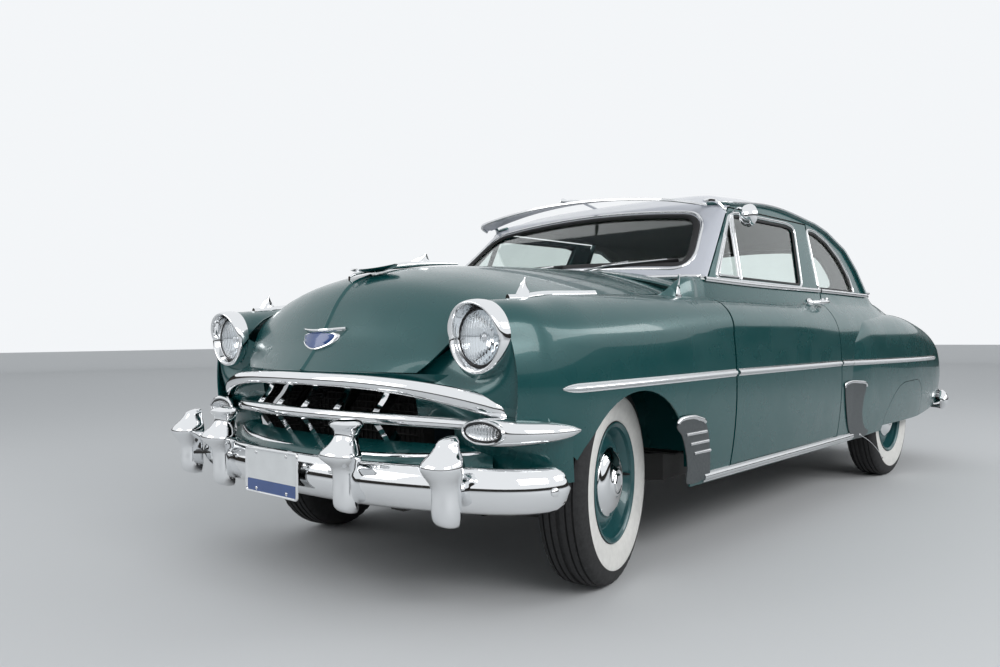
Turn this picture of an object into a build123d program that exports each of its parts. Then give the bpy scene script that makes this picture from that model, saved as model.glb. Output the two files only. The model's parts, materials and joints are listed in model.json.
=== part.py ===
from build123d import *
import os
from math import atan2, cos, degrees, hypot, radians, sin

# A two-door sedan of the 1950s, in millimetres. +X is forward, +Y the car's left, Z up from the floor.
# The origin lies on the floor at the middle of the car's length and width.

# overall
half_length = 2495.0
front_axle_x = 1645.0
wheelbase = 2921.0
rear_axle_x = front_axle_x - wheelbase
front_track = 1440.0
rear_track = 1492.0

# wheels and steering
tyre_radius = 350.0
tyre_width = 170.0
rim_radius = 190.0
rim_flange_radius = 205.0
rim_width = 140.0
kingpin_y = 650.0
rest_steer = 15.0          # the front wheels stand turned this far to the car's left
spindle_radius = 16.0
spindle_clearance = 0.06
drum_radius = 112.0
hub_bore = spindle_radius + spindle_clearance

# door hinges
hinge_x = 902.0
hinge_y = 909.0
pin_radius = 6.0
pin_clearance = 0.06
hinge_feet = (470.0, 780.0)
pillar_x = 1012.0
firewall_x = 1060.0

# hinge axes of the hood and the deck lid, as (x, z)
hood_axis = (1083.0, 1118.0)
deck_axis = (-1449.0, 1032.0)

# bumpers and plate bracket
bumper_z = 410.0
plate_face_x = 2452.0
plate_spacing = (178.0, 121.0)
plate_hole_radius = 4.0

# lamps
headlight_y = 707.0
headlight_z = 851.0
headlight_radius = 108.5

# steering column
column_top = (520.0, 360.0, 985.0)
column_axis = (-0.87, 0.0, 0.49)
wheel_rim_radius = 205.0

# body skins
skin = 6.0                 # fender, hood and lid sheets
seat_step_x = -720.0       # where the floor steps up to the rear seat pan
boot_step_x = -1400.0      # where the seat pan steps up to the boot floor
door_depth = 100.0
wall_depth = 40.0
seat_gap = 0.3             # between a fixed piece and what it is seated on
panel_gap = 8.0            # between a moving panel and its neighbours
front_gap = 11.0           # the same at the door's front edge
pillar_gap = 6.0           # added to it behind the door's window frame
door_skin = 6.0            # the door's edge is only as thick as its outer sheet
door_step = 22.0           # from the door's edge to its full depth
door_front_x = 982.0
door_rear_x = -170.0
door_bottom_z = 346.0
belt_z = 1070.0
window_foot_z = 1062.0
drip_z = 1440.0

# The body's side: one row for each section across the car. The front rows begin at the valley beside the
# hood, so their top edge and valley are the same point.
# x; top edge y, z; valley y, z; shoulder y, z; crease y, z; side y, z; sill y, z
side_sections = [
    (2185, 600, 870, 600, 868, 707, 962, 818, 852, 846, 700, 836, 600),
    (2080, 640, 937, 640, 935, 745, 968, 868, 857, 892, 700, 876, 560),
    (1890, 690, 985, 690, 983, 808, 968, 905, 857, 918, 680, 896, 430),
    (1300, 752, 1005, 752, 1003, 850, 978, 924, 856, 933, 620, 893, 300),
    (982, 792, 1008, 792, 1002, 872, 976, 924, 856, 934, 620, 893, 300),
]
cabin_sections = [
    (1112, 782, 1080, 782, 1000, 868, 976, 924, 856, 934, 620, 893, 300),
    (982, 789, 1075, 795, 1000, 874, 974, 924, 856, 934, 620, 893, 300),
    (400, 792, 1068, 806, 1000, 878, 968, 923, 850, 933, 620, 893, 300),
    (-240, 792, 1070, 824, 1010, 874, 958, 918, 842, 926, 620, 890, 300),
    (-960, 790, 1066, 808, 1012, 846, 960, 892, 826, 902, 620, 876, 304),
    (-1276, 655, 1064, 740, 1022, 800, 960, 858, 800, 880, 620, 862, 320),
    (-1480, 575, 1042, 680, 1012, 770, 945, 836, 790, 862, 620, 846, 330),
    (-1980, 555, 938, 630, 920, 700, 876, 770, 745, 796, 610, 780, 370),
    (-2290, 520, 720, 560, 714, 616, 700, 668, 650, 690, 560, 676, 420),
]
# The rear fender's swell, seen across the car, in the same columns
fender_sections = [
    (-330, 846, 866, 850, 860, 900, 830, 916, 780, 924, 600, 888, 305),
    (-640, 796, 960, 800, 955, 880, 925, 930, 830, 941, 600, 896, 308),
    (-1276, 756, 972, 760, 968, 872, 935, 935, 820, 950, 600, 915, 330),
    (-1900, 686, 934, 690, 930, 820, 890, 905, 770, 920, 600, 886, 365),
    (-2290, 636, 842, 640, 838, 752, 812, 832, 730, 842, 610, 812, 430),
]
# The hood across the car: x; crown z; edge y, z; depth of the sheet measured straight down
hood_sections = [
    (1120, 1152, 758, 1012, 10),
    (1300, 1148, 737, 1008, 10),
    (1890, 1114, 675, 988, 10),
    (2080, 1068, 625, 940, 12),
    (2130, 1040, 594, 900, 16),
    (2200, 950, 541, 806, 24),
    (2256, 852, 440, 748, 20),
    (2300, 796, 300, 744, 14),
    (2330, 757, 100, 742, 9),
]
# The deck lid across the car, in the same columns
deck_sections = [
    (-1486, 1066, 560, 1042, 10),
    (-1650, 1046, 553, 1012, 10),
    (-1980, 966, 540, 940, 12),
    (-2200, 838, 514, 796, 20),
    (-2288, 738, 500, 722, 16),
]
# The glasshouse outline at two heights: front middle x; front corner x, y; side front x, side y;
# side rear x; rear corner x, y; rear middle x
foot_outline = (1104, 1009, 736, 1000, 788, -960, -1330, 620, -1440)
drip_outline = (650, 567, 602, 560, 688, -430, -980, 540, -1090)
# The roof above the drip rails: share of the drip outline about roof_centre_x; rise
roof_centre_x = -200.0
roof_rise = [(0.9, 32), (0.75, 71), (0.55, 113), (0.3, 146), (0.1, 158)]


def mirrored(shape):
    return mirror(shape, Plane.XZ)


def save(name, *solids):
    pieces = []
    for entry in solids:
        pieces.extend(entry.solids())
    export_step(Compound(children=pieces), "parts/" + name + ".step")
    return pieces


def block(x0, x1, y0, y1, z0, z1):
    return Pos((x0 + x1) / 2, (y0 + y1) / 2, (z0 + z1) / 2) * Box(x1 - x0, y1 - y0, z1 - z0)


def side_prism(points, y0, y1):
    """Extrude an outline drawn in X and Z from y0 to y1."""
    face = make_face(Polyline(*[(x, y0, z) for x, z in points], close=True))
    return extrude(face, amount=y1 - y0, dir=(0, 1, 0))


def plan_prism(points, z0, z1):
    """Extrude an outline drawn in X and Y from z0 to z1."""
    face = make_face(Polyline(*[(x, y, z0) for x, y in points], close=True))
    return extrude(face, amount=z1 - z0, dir=(0, 0, 1))


def side_loft(sections, grow, spare=0.0, core=250.0):
    """The car's left side as a solid from the plane y = core out to the sheet, grown by a distance."""
    profiles = []
    for row in sections:
        x, top_y, top_z, valley_y, valley_z, shoulder_y, shoulder_z = row[:7]
        crease_y, crease_z, side_y, side_z, sill_y, sill_z = row[7:]
        top = (x, top_y + grow, top_z + 0.5 * grow)
        valley = (x, valley_y + grow, valley_z + 0.5 * grow)
        shoulder = (x, shoulder_y + 0.7 * grow, shoulder_z + 0.7 * grow)
        crease = (x, crease_y + grow, crease_z)
        sill = (x, sill_y + grow, sill_z - spare)
        band = Line(top, valley)
        upper = ThreePointArc(valley, shoulder, crease)
        lower = ThreePointArc(crease, (x, side_y + grow, side_z), (x, sill_y + grow, sill_z))
        rest = [(x, sill_y + grow, sill_z)]
        if spare:
            rest.append(sill)
        rest += [(x, core, sill_z - spare), (x, core, top[2] + spare)]
        if spare:
            rest.append((x, top[1], top[2] + spare))
        rest.append(top)
        profiles.append(make_face([band, upper, lower, Polyline(*rest)]))
    return loft(profiles, ruled=True)


def side_layer(sections, inner, outer):
    """The space between two offsets of the car's side."""
    return side_loft(sections, outer) - side_loft(sections, inner, 160.0, 200.0)


def crown_loft(sections):
    """A sheet arched across the car, lofted from arcs; rows as in hood_sections."""
    profiles = []
    for x, crown, edge_y, edge_z, depth in sections:
        over = ThreePointArc((x, -edge_y, edge_z), (x, 0, crown), (x, edge_y, edge_z))
        under = ThreePointArc((x, edge_y, edge_z - depth), (x, 0, crown - depth), (x, -edge_y, edge_z - depth))
        joins = [Line(over @ 1, under @ 0), Line(under @ 1, over @ 0)]
        profiles.append(make_face([over, joins[0], under, joins[1]]))
    return loft(profiles, ruled=True)


def outline(row, z, inset):
    front_x, corner_x, corner_y, side_front_x, side_y, side_rear_x, rear_x, rear_y, back_x = row
    corner = (corner_x - inset, corner_y - inset)
    side_front = (side_front_x - 0.3 * inset, side_y - inset)
    side_rear = (side_rear_x, side_y - inset)
    rear = (rear_x + inset, rear_y - inset)
    edges = [
        ThreePointArc((corner[0], -corner[1], z), (front_x - inset, 0, z), (corner[0], corner[1], z)),
        Line((corner[0], corner[1], z), (side_front[0], side_front[1], z)),
        Line((side_front[0], side_front[1], z), (side_rear[0], side_rear[1], z)),
        Line((side_rear[0], side_rear[1], z), (rear[0], rear[1], z)),
        ThreePointArc((rear[0], rear[1], z), (back_x + inset, 0, z), (rear[0], -rear[1], z)),
        Line((rear[0], -rear[1], z), (side_rear[0], -side_rear[1], z)),
        Line((side_rear[0], -side_rear[1], z), (side_front[0], -side_front[1], z)),
        Line((side_front[0], -side_front[1], z), (corner[0], -corner[1], z)),
    ]
    return make_face(edges)


def glasshouse(inset):
    """The space under the roof, from below the belt to the drip rails, drawn in by a distance."""
    return loft([outline(foot_outline, window_foot_z, inset), outline(drip_outline, drip_z, inset)], ruled=True)


def house(inset):
    """The glasshouse with the roof over it, drawn in by a distance."""
    levels = [outline(foot_outline, window_foot_z, inset), outline(drip_outline, drip_z - 0.2 * inset, inset)]
    for share, rise in roof_rise:
        part = share * (1 - inset / 700)
        row = [part * value for value in drip_outline]
        for place in (0, 1, 3, 5, 6, 8):
            row[place] += (1 - part) * roof_centre_x
        levels.append(outline(row, drip_z + rise - 0.75 * inset, 0))
    return loft(levels, ruled=True)


# Openings in the glasshouse, drawn from the side (x, z) or from the front (y, z)
door_window = [(842, 1094), (566, 1380), (500, 1396), (-60, 1404), (-144, 1391), (-40, 1092)]
door_side = [(door_front_x, door_bottom_z), (door_front_x, 1076), (928, 1076), (556, 1420), (-318, 1426),
             (-244, 1068), (door_rear_x, 1000), (door_rear_x, door_bottom_z)]
quarter_window = [(-270, 1084), (-330, 1398), (-430, 1396), (-570, 1350), (-690, 1270), (-756, 1180), (-776, 1082)]
windshield_half = [(0, 1160), (690, 1136), (604, 1392), (0, 1432)]
rear_window_half = [(0, 1116), (520, 1124), (500, 1330), (430, 1380), (0, 1400)]


def inset_outline(points, distance):
    """Move each side of a convex outline inwards by a distance."""
    area = sum(a[0] * b[1] - b[0] * a[1] for a, b in zip(points, points[1:] + points[:1]))
    turn = 1 if area > 0 else -1
    moved = []
    for before, here, after in zip(points[-1:] + points[:-1], points, points[1:] + points[:1]):
        normals = []
        for a, b in ((before, here), (here, after)):
            length = hypot(b[0] - a[0], b[1] - a[1])
            normals.append((-turn * (b[1] - a[1]) / length, turn * (b[0] - a[0]) / length))
        (ax, ay), (bx, by) = normals
        share = distance / (1 + ax * bx + ay * by)
        moved.append((here[0] + share * (ax + bx), here[1] + share * (ay + by)))
    return moved


def ends_prism(half, x0, x1, grow=0.0):
    """Extrude a half outline, drawn in Y and Z and mirrored, along X."""
    middle_z = sum(z for y, z in half) / len(half)
    points = [(y + (grow if y > 0 else 0), z + (grow if z > middle_z else -grow)) for y, z in half]
    points += [(-y, z) for y, z in reversed(points) if y > 0]
    face = make_face(Polyline(*[(x0, y, z) for y, z in points], close=True))
    return extrude(face, amount=x1 - x0, dir=(1, 0, 0))


def doorway():
    """The door's opening in the car's side, with more room behind its window frame."""
    return [(x - (pillar_gap if x < -200 else 0), z) for x, z in inset_outline(door_side, -panel_gap)]


def make_roof_and_glass():
    shell = house(0) - house(32)
    below = block(door_rear_x - panel_gap, 3000, -1000, 1000, 1000, belt_z + 12)
    below += block(-1345, door_rear_x, -1000, 1000, 1000, belt_z + seat_gap)
    for side in (1, -1):
        quarter = side_prism(quarter_window, side * 400, side * 900)
        shell -= [side_prism(doorway(), side * 560, side * 1000), quarter]
    shell -= [ends_prism(windshield_half, 560, 1100), ends_prism(rear_window_half, -1500, -900)]
    shell -= below
    roof = shell.solids().sort_by(SortBy.VOLUME)[-1]
    layer = glasshouse(8) - glasshouse(13)
    glass = [layer & ends_prism(windshield_half, 560, 1100, -seat_gap),
             layer & ends_prism(rear_window_half, -1500, -900, -seat_gap)]
    for side in (1, -1):
        glass.append(layer & side_prism(inset_outline(quarter_window, seat_gap), side * 400, side * 900))
    return roof, glass


def front_arch(y0, y1):
    """The front wheel's opening in the fender, as a prism along Y."""
    x = front_axle_x
    edges = [
        ThreePointArc((x - 362, y0, 240), (x - 318, y0, 430), (x - 228, y0, 562)),
        ThreePointArc((x - 228, y0, 562), (x + 10, y0, 672), (x + 250, y0, 562)),
        ThreePointArc((x + 250, y0, 562), (x + 345, y0, 440), (x + 372, y0, 240)),
        Line((x + 372, y0, 240), (x - 362, y0, 240)),
    ]
    return extrude(make_face(edges), amount=y1 - y0, dir=(0, 1, 0))


def rear_arch(y0, y1, inset=0.0):
    """The rear wheel's opening, which the skirt closes down to its straight foot."""
    x = rear_axle_x
    top = 575 - inset
    foot = 250.0
    edges = [
        ThreePointArc((x - 262 + inset, y0, 400), (x - 205 + inset * 0.7, y0, top - 38), (x - 90, y0, top)),
        Line((x - 90, y0, top), (x + 130, y0, top - 4)),
        ThreePointArc((x + 130, y0, top - 4), (x + 300 - inset * 0.7, y0, top - 60), (x + 420 - inset, y0, 400)),
        Line((x + 420 - inset, y0, 400), (x + 450 - inset, y0, foot)),
        Line((x + 450 - inset, y0, foot), (x - 262 + inset, y0, foot)),
        Line((x - 262 + inset, y0, foot), (x - 262 + inset, y0, 400)),
    ]
    return extrude(make_face(edges), amount=y1 - y0, dir=(0, 1, 0))


def make_front_fenders():
    sheet = side_layer(side_sections, -skin, 0)
    sheet -= front_arch(500, 1000)
    cap = side_loft(side_sections, 0) & block(2179, 2185, 566, 1000, 600, 1100)
    cap -= Pos(2182, headlight_y, headlight_z) * Rot(0, 90, 0) * Cylinder(95, 20)
    sheet &= block(door_front_x + front_gap, 2190, 0, 1000, 200, 1100)
    return sheet + cap - lamp_pod(seat_gap) - make_grille(2 * seat_gap)


def make_body_side():
    """The left side behind the door: quarter panel, rear fender and its skirt."""
    quarter = side_layer(cabin_sections, -wall_depth, 0) & block(-1400, door_rear_x, 0, 1000, 200, 1100)
    quarter += side_layer(cabin_sections, -skin, 0) & block(-2290, -1399, 0, 1000, 200, 1100)
    quarter -= side_prism(doorway(), 0, 1000)
    quarter -= block(door_rear_x - panel_gap, 0, 0, 1000, 200, 400)
    fender = side_layer(fender_sections, -skin, 0) + (
        side_loft(fender_sections, 0) & block(-2290, -2284, 600, 1000, 0, 1000))
    fender -= side_loft(cabin_sections, seat_gap, 60, 100)
    arch = rear_arch(600, 1000)
    quarter -= arch
    quarter -= Pos(rear_axle_x, 745, tyre_radius) * Rot(90, 0, 0) * Cylinder(tyre_radius + 28, 196)
    fender -= arch
    skirt = side_layer(fender_sections, -16, 0) & rear_arch(600, 1000, seat_gap)
    skirt &= block(-3000, 3000, 0, 1000, 341, 1000)
    return quarter, fender, skirt


def make_doors():
    outer = side_layer(cabin_sections, -door_skin, 0)
    frame = glasshouse(0) - glasshouse(32)
    frame -= side_prism(door_window, 400, 900)
    door = (outer + frame) & side_prism(door_side, 500, 1000)
    box = side_layer(cabin_sections, -door_depth, -door_skin / 2)
    door += box & side_prism(inset_outline(door_side, door_step), 500, 1000)
    for foot in hinge_feet:
        slot = block(hinge_x - 22, door_front_x + 1, hinge_y - 110, hinge_y + 16, foot - 16, foot + 16)
        door -= slot + Pos(hinge_x, hinge_y, foot) * Cylinder(pin_radius + pin_clearance, 62)
    glass = glasshouse(12) - glasshouse(17)
    glass &= side_prism(inset_outline(door_window, seat_gap), 400, 900)
    return door.solids().sort_by(SortBy.VOLUME)[-1], glass


def hinge_arm(foot):
    """A door hinge's pin and the arm that carries it from the pillar, inside the door's slot."""
    pin = Pos(hinge_x, hinge_y, foot) * Cylinder(pin_radius, 60)
    arm = plan_prism([(hinge_x - 10, hinge_y + 8), (hinge_x + 10, hinge_y + 8), (hinge_x + 14, hinge_y - 72),
                      (pillar_x + 1, hinge_y - 72), (pillar_x + 1, hinge_y - 88), (hinge_x - 6, hinge_y - 88)],
                     foot - 9, foot + 9)
    return pin + arm


def lid_pin(axis, y, radius=5.0, length=26):
    return Pos(axis[0], y, axis[1]) * Rot(90, 0, 0) * Cylinder(radius, length)


def lid_arm(axis, forward, y, rise):
    """A bent arm from a lid's hinge pin, dipping under the fixed panel and up to the lid."""
    outline_rows = [(-8, -7), (34, -54), (104, -54), (104, rise), (86, rise), (86, -38), (41, -38), (9, -4)]
    arm = side_prism([(axis[0] + forward * dx, axis[1] + dz) for dx, dz in outline_rows], y - 8, y + 8)
    return arm + lid_pin(axis, y, 11, 16) - lid_pin(axis, y, 5 + pin_clearance, 40)


def make_cowl():
    """The panel from the hood to the windshield, the firewall below it and the door pillars."""
    cowl = crown_loft([(1112, 1144, 752, 1040, skin), (994, 1155, 742, 1062, skin)])
    cowl += crown_loft([(firewall_x, 1148, 748, 1046, 300), (firewall_x - 6, 1148, 748, 1046, 300)])
    cowl += block(firewall_x - 6, firewall_x, -748, 748, 392, 900)
    for side in (1, -1):
        cowl += block(firewall_x - 1, 1090, side * 116 - 3, side * 116 + 3, 1104, 1130)
        cowl += lid_pin(hood_axis, side * 103)
    cowl -= glasshouse(-seat_gap)
    band = side_layer(cabin_sections, -skin, 0) & block(door_front_x + front_gap, 1112, 700, 1000, 1012, 1100)
    pillar = block(pillar_x, firewall_x, 740, 900, 330, 1000) & side_loft(side_sections, -skin - seat_gap)
    pillar += block(994, 1009, 752, 776, 960, belt_z + 12 - seat_gap)
    pillar += block(994, firewall_x, 740, 772, 960, 1040)
    pillar += block(996, 1050, 760, 790, 1018, 1036)
    for foot in hinge_feet:
        pillar += hinge_arm(foot)
    side = band + pillar
    return cowl + side + mirrored(side)


def make_floor():
    """Cabin floor with its tunnel, sills, rear seat pan, wheelhouses and boot floor."""
    floor = block(seat_step_x, firewall_x - 6 - seat_gap, -700, 700, 372, 378)
    floor += block(seat_step_x, 810, -785, 785, 372, 378)
    floor += block(800, 1005, -761, 761, 372, 378)
    floor += block(-1000, firewall_x - 6 - seat_gap, -110, 110, 372, 500)
    floor -= block(-1010, 1070, -104, 104, 300, 494)
    floor += block(seat_step_x - 6, seat_step_x, -785, 785, 372, 520)
    floor += block(boot_step_x, seat_step_x, -562, 562, 514, 520)
    floor += block(boot_step_x - 6, boot_step_x, -562, 562, 514, 620)
    floor += block(-2260, boot_step_x, -562, 562, 614, 620)
    floor -= block(-1560, seat_step_x - 6.5, -104, 104, 370, 513)
    house = Pos(rear_axle_x, 700, tyre_radius) * Rot(90, 0, 0) * Cylinder(378, 268)
    house -= Pos(rear_axle_x, 703, tyre_radius) * Rot(90, 0, 0) * Cylinder(372, 268)
    house &= block(-1700, -850, 500, 834, 440, 900)
    for side in (1, -1):
        floor += house if side > 0 else mirrored(house)
        floor += block(-172, 810, side * 752 - 33, side * 752 + 33, 372, 420)
        floor += block(800, 1005, side * 740 - 21, side * 740 + 21, 372, 420)
    return floor


def make_frame():
    """Two box rails with a kick-up over the rear axle, five cross members and the body's mounts."""
    plan = [(2236, 345), (2236, 405), (1250, 415), (1000, 610), (-480, 610), (-640, 520), (-2290, 520),
            (-2290, 450), (-650, 450), (-470, 540), (980, 540), (1180, 345)]
    rise = [(2300, 300), (2300, 390), (1250, 390), (1050, 365), (-800, 365), (-1080, 510), (-1500, 510),
            (-1800, 420), (-2300, 420), (-2300, 340), (-1820, 340), (-1520, 430), (-1110, 430), (-860, 255),
            (1050, 255), (1250, 300)]
    rail = plan_prism(plan, 200, 600) & side_prism(rise, 200, 700)
    for x in (850, 200, -400):
        rail += block(x - 30, x + 30, 550, 600, 350, 372 - seat_gap)
    rail += block(-1300, -1240, 460, 510, 500, 514 - seat_gap)
    frame = rail + mirrored(rail)
    for x, y, z0, z1 in ((2190, 350, 310, 380), (1020, 560, 265, 335), (-200, 545, 300, 350),
                         (-1640, 455, 400, 470), (-2240, 455, 350, 410)):
        frame += block(x - 40, x + 40, -y, y, z0, z1)
    return frame


def turned(shape, side):
    """Turn a front wheel's part from straight ahead to how it stands."""
    pivot = Location((front_axle_x, side * kingpin_y, 0))
    return pivot * Rot(0, 0, rest_steer) * pivot.inverse() * shape


def dome_arc(edge_out, edge_radius, top_out):
    """An arc from an edge to the axis, centred on the axis, as (outward, radius) points."""
    rise = top_out - edge_out
    ball = (edge_radius ** 2 + rise ** 2) / (2 * rise)
    half = atan2(edge_radius, ball - rise) / 2
    return [(edge_out, edge_radius), (top_out - ball * (1 - cos(half)), ball * sin(half)), (top_out, 0)]


def dome(edge_out, edge_radius, top_out, thick):
    """A thin dome about the Y axis, bulging towards +Y."""
    outer = dome_arc(edge_out, edge_radius, top_out)
    inner = dome_arc(edge_out - thick, edge_radius, top_out - thick)
    face = make_face([
        ThreePointArc(*[(0, y, r) for y, r in outer]),
        Line((0, top_out, 0), (0, top_out - thick, 0)),
        ThreePointArc(*[(0, y, r) for y, r in reversed(inner)]),
        Line((0, edge_out - thick, edge_radius), (0, edge_out, edge_radius)),
    ])
    return revolve(face, Axis((0, 0, 0), (0, 1, 0)))


def wheel_profile(points, origin_y, side):
    """Revolve an outline of (distance outward, radius) pairs about the wheel's axis along Y."""
    face = make_face(Polyline(*[(0, side * y, r) for y, r in points], close=True))
    return Pos(0, side * origin_y, tyre_radius) * revolve(face, Axis((0, 0, 0), (0, 1, 0)))


def make_tyre(centre_y, side):
    half = tyre_width / 2
    outer = make_face([
        ThreePointArc((0, -62, tyre_radius - 6), (0, 0, tyre_radius), (0, 62, tyre_radius - 6)),
        ThreePointArc((0, 62, tyre_radius - 6), (0, half, 278), (0, 62, rim_radius + 12)),
        Polyline((0, 62, rim_radius + 12), (0, 62, rim_radius + 0.5), (0, 48, rim_radius + 0.5),
                 (0, 48, rim_radius + 22)),
        ThreePointArc((0, 48, rim_radius + 22), (0, half - 15, 278), (0, 52, tyre_radius - 20)),
        ThreePointArc((0, 52, tyre_radius - 20), (0, 0, tyre_radius - 15), (0, -52, tyre_radius - 20)),
        ThreePointArc((0, -52, tyre_radius - 20), (0, 15 - half, 278), (0, -48, rim_radius + 22)),
        Polyline((0, -48, rim_radius + 22), (0, -48, rim_radius + 0.5), (0, -62, rim_radius + 0.5),
                 (0, -62, rim_radius + 12)),
        ThreePointArc((0, -62, rim_radius + 12), (0, -half, 278), (0, -62, tyre_radius - 6)),
    ])
    return Pos(0, side * centre_y, tyre_radius) * revolve(outer, Axis((0, 0, 0), (0, 1, 0)))


def make_wheel(centre_y, side):
    """Steel rim, dished disc and domed cap; outward distances are from the tyre's middle."""
    rim = wheel_profile([(-72, rim_flange_radius), (-66, rim_flange_radius), (-64, rim_radius),
                         (-30, rim_radius), (-20, 170), (20, 170), (34, rim_radius), (64, rim_radius),
                         (66, rim_flange_radius), (72, rim_flange_radius), (69, rim_radius - 6),
                         (32, rim_radius - 6), (18, 164), (-18, 164), (-28, rim_radius - 6),
                         (-69, rim_radius - 6)], centre_y, side)
    disc = wheel_profile([(10, 165), (22, 165), (40, 140), (44, 128), (30, 96), (30, 90), (24, hub_bore),
                          (14, hub_bore), (18, 90), (32, 132), (28, 138)], centre_y, side)
    cap = dome(46, 118, 74, 6)
    cap = Pos(0, side * centre_y, tyre_radius) * (cap if side > 0 else mirrored(cap))
    return rim + disc + cap


def make_knuckle(side):
    """Upright, brake drum and spindle, drawn for straight ahead."""
    y = front_track / 2
    upright = Pos(front_axle_x, kingpin_y, tyre_radius) * Cylinder(18, 230)
    drum = Pos(front_axle_x, y - 38, tyre_radius) * Rot(90, 0, 0) * Cylinder(drum_radius, 56)
    spindle = Pos(front_axle_x, y + 11, tyre_radius) * Rot(90, 0, 0) * Cylinder(spindle_radius, 58)
    knuckle = upright + drum + spindle
    return knuckle if side > 0 else mirrored(knuckle)


def make_suspension():
    """Cross member, and an upper and a lower arm to each kingpin."""
    member = block(front_axle_x - 60, front_axle_x + 60, seat_gap - 345, 345 - seat_gap, 235, 330)
    for side in (1, -1):
        tower = block(front_axle_x - 150, front_axle_x + 150, 296, 340, 201, 499)
        for z in (tyre_radius - 127 - seat_gap, tyre_radius + 127 + seat_gap):
            tower += plan_prism([(front_axle_x - 150, 330), (front_axle_x - 24, kingpin_y + 20),
                                 (front_axle_x + 24, kingpin_y + 20), (front_axle_x + 150, 330),
                                 (front_axle_x + 110, 330), (front_axle_x, 560),
                                 (front_axle_x - 110, 330)], z - 12, z + 12)
        member += tower if side > 0 else mirrored(tower)
    return member


def make_rear_axle():
    """Axle tube with its differential and drums, and a leaf spring each side."""
    axle = Pos(rear_axle_x, 0, tyre_radius) * Rot(90, 0, 0) * Cylinder(38, 1400)
    axle += Pos(rear_axle_x, 0, tyre_radius) * Sphere(125)
    for side in (1, -1):
        axle += Pos(rear_axle_x, side * (rear_track / 2 - 38), tyre_radius) * Rot(90, 0, 0) * Cylinder(
            drum_radius, 56)
        axle += Pos(rear_axle_x, side * (rear_track / 2 + 11), tyre_radius) * Rot(90, 0, 0) * Cylinder(
            spindle_radius, 58)
        axle += block(rear_axle_x - 60, rear_axle_x + 60, side * 575 - 28, side * 575 + 28, 290, 318)
        for row in range(4):
            span = 600 - 130 * row
            top = 292 - 9 * row
            lift = 55 * (span / 600) ** 2
            leaf = make_face([
                ThreePointArc((rear_axle_x - span, 550, top + lift), (rear_axle_x, 550, top),
                              (rear_axle_x + span, 550, top + lift)),
                Line((rear_axle_x + span, 550, top + lift), (rear_axle_x + span, 550, top + lift - 9)),
                ThreePointArc((rear_axle_x + span, 550, top + lift - 9), (rear_axle_x, 550, top - 9),
                              (rear_axle_x - span, 550, top + lift - 9)),
                Line((rear_axle_x - span, 550, top + lift - 9), (rear_axle_x - span, 550, top + lift)),
            ])
            leaf = extrude(leaf, amount=50, dir=(0, 1, 0))
            axle += leaf if side > 0 else mirrored(leaf)
        for x in (rear_axle_x - 590, rear_axle_x + 590):
            axle += block(x - 18, x + 18, side * (560 + seat_gap) - 40, side * (560 + seat_gap) + 40, 332, 362)
    return axle


def make_aprons():
    """The inner fenders, from the firewall to the radiator."""
    x = firewall_x + seat_gap
    section = [(446, 520), (446, 874), (742, 972), (742, 978), (440, 880), (440, 520)]
    apron = extrude(make_face(Polyline(*[(x, y, z) for y, z in section], close=True)), amount=925, dir=(1, 0, 0))
    apron &= plan_prism([(1000, 0), (2000, 0), (2000, 648), (1000, 749)], 300, 1100)
    return apron, mirrored(apron)


def make_radiator():
    core = block(2000, 2050, -300, 300, 430, 880)
    core += block(1990, 2060, -310, 310, 880, 925) + block(1990, 2060, -310, 310, 400, 430)
    for side in (1, -1):
        core += block(2010, 2040, side * 345 - 45, side * 345 + 45, 390 + seat_gap, 425)
    return core


def lamp_pod(grow=0.0):
    """The left parking lamp's pod, from the lens back round the fender's corner."""
    profiles = []
    for x, y, wide, tall in ((2218, 742, 88, 40), (2185, 790, 92, 42), (2110, 868, 78, 36), (2000, 924, 18, 14)):
        profiles.append(Plane(origin=(x, y, 574), z_dir=(1, 0, 0)) * Ellipse(wide + grow, tall + grow))
    return loft(profiles, ruled=True)


def make_lamps():
    """Headlight rims and the parking lamps' pods, with their clear lenses."""
    chrome = []
    lenses = []
    for side in (1, -1):
        ring = make_face([
            Polyline((2185 + seat_gap, 0, 86), (2190, 0, 84), (2204, 0, 92)),
            ThreePointArc((2204, 0, 92), (2221, 0, 103), (2212, 0, headlight_radius)),
            Polyline((2212, 0, headlight_radius), (2185 + seat_gap, 0, 111), (2185 + seat_gap, 0, 86)),
        ])
        ring = revolve(ring, Axis((0, 0, 0), (1, 0, 0)))
        chrome.append(Pos(0, side * headlight_y, headlight_z) * ring)
        lens = Rot(0, 0, -90) * dome(0, 83.6, 31, 5)
        lenses.append(Pos(2191, side * headlight_y, headlight_z) * lens)
        chrome.append(lamp_pod() if side > 0 else mirrored(lamp_pod()))
        lens = Plane(origin=(2218 + seat_gap, side * 742, 574), z_dir=(1, 0, 0)) * Ellipse(80, 33)
        lenses.append(extrude(lens, amount=8, dir=(1, 0, 0)))
    return chrome, lenses


def make_seat(x0, x1, z0, z1, back_x0, back_x1, back_z, lean, half_y):
    """A bench's cushion and its leaning back."""
    cushion = block(x0, x1, -half_y, half_y, z0, z1)
    cushion = fillet(cushion.edges().filter_by(Axis.Y), 40)
    back = side_prism([(back_x0, z0 + 60), (back_x1, z0 + 60), (back_x1 - lean, back_z),
                       (back_x0 - lean, back_z)], -half_y, half_y)
    back = fillet(back.edges().filter_by(Axis.Y), 30)
    return cushion + back


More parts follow.
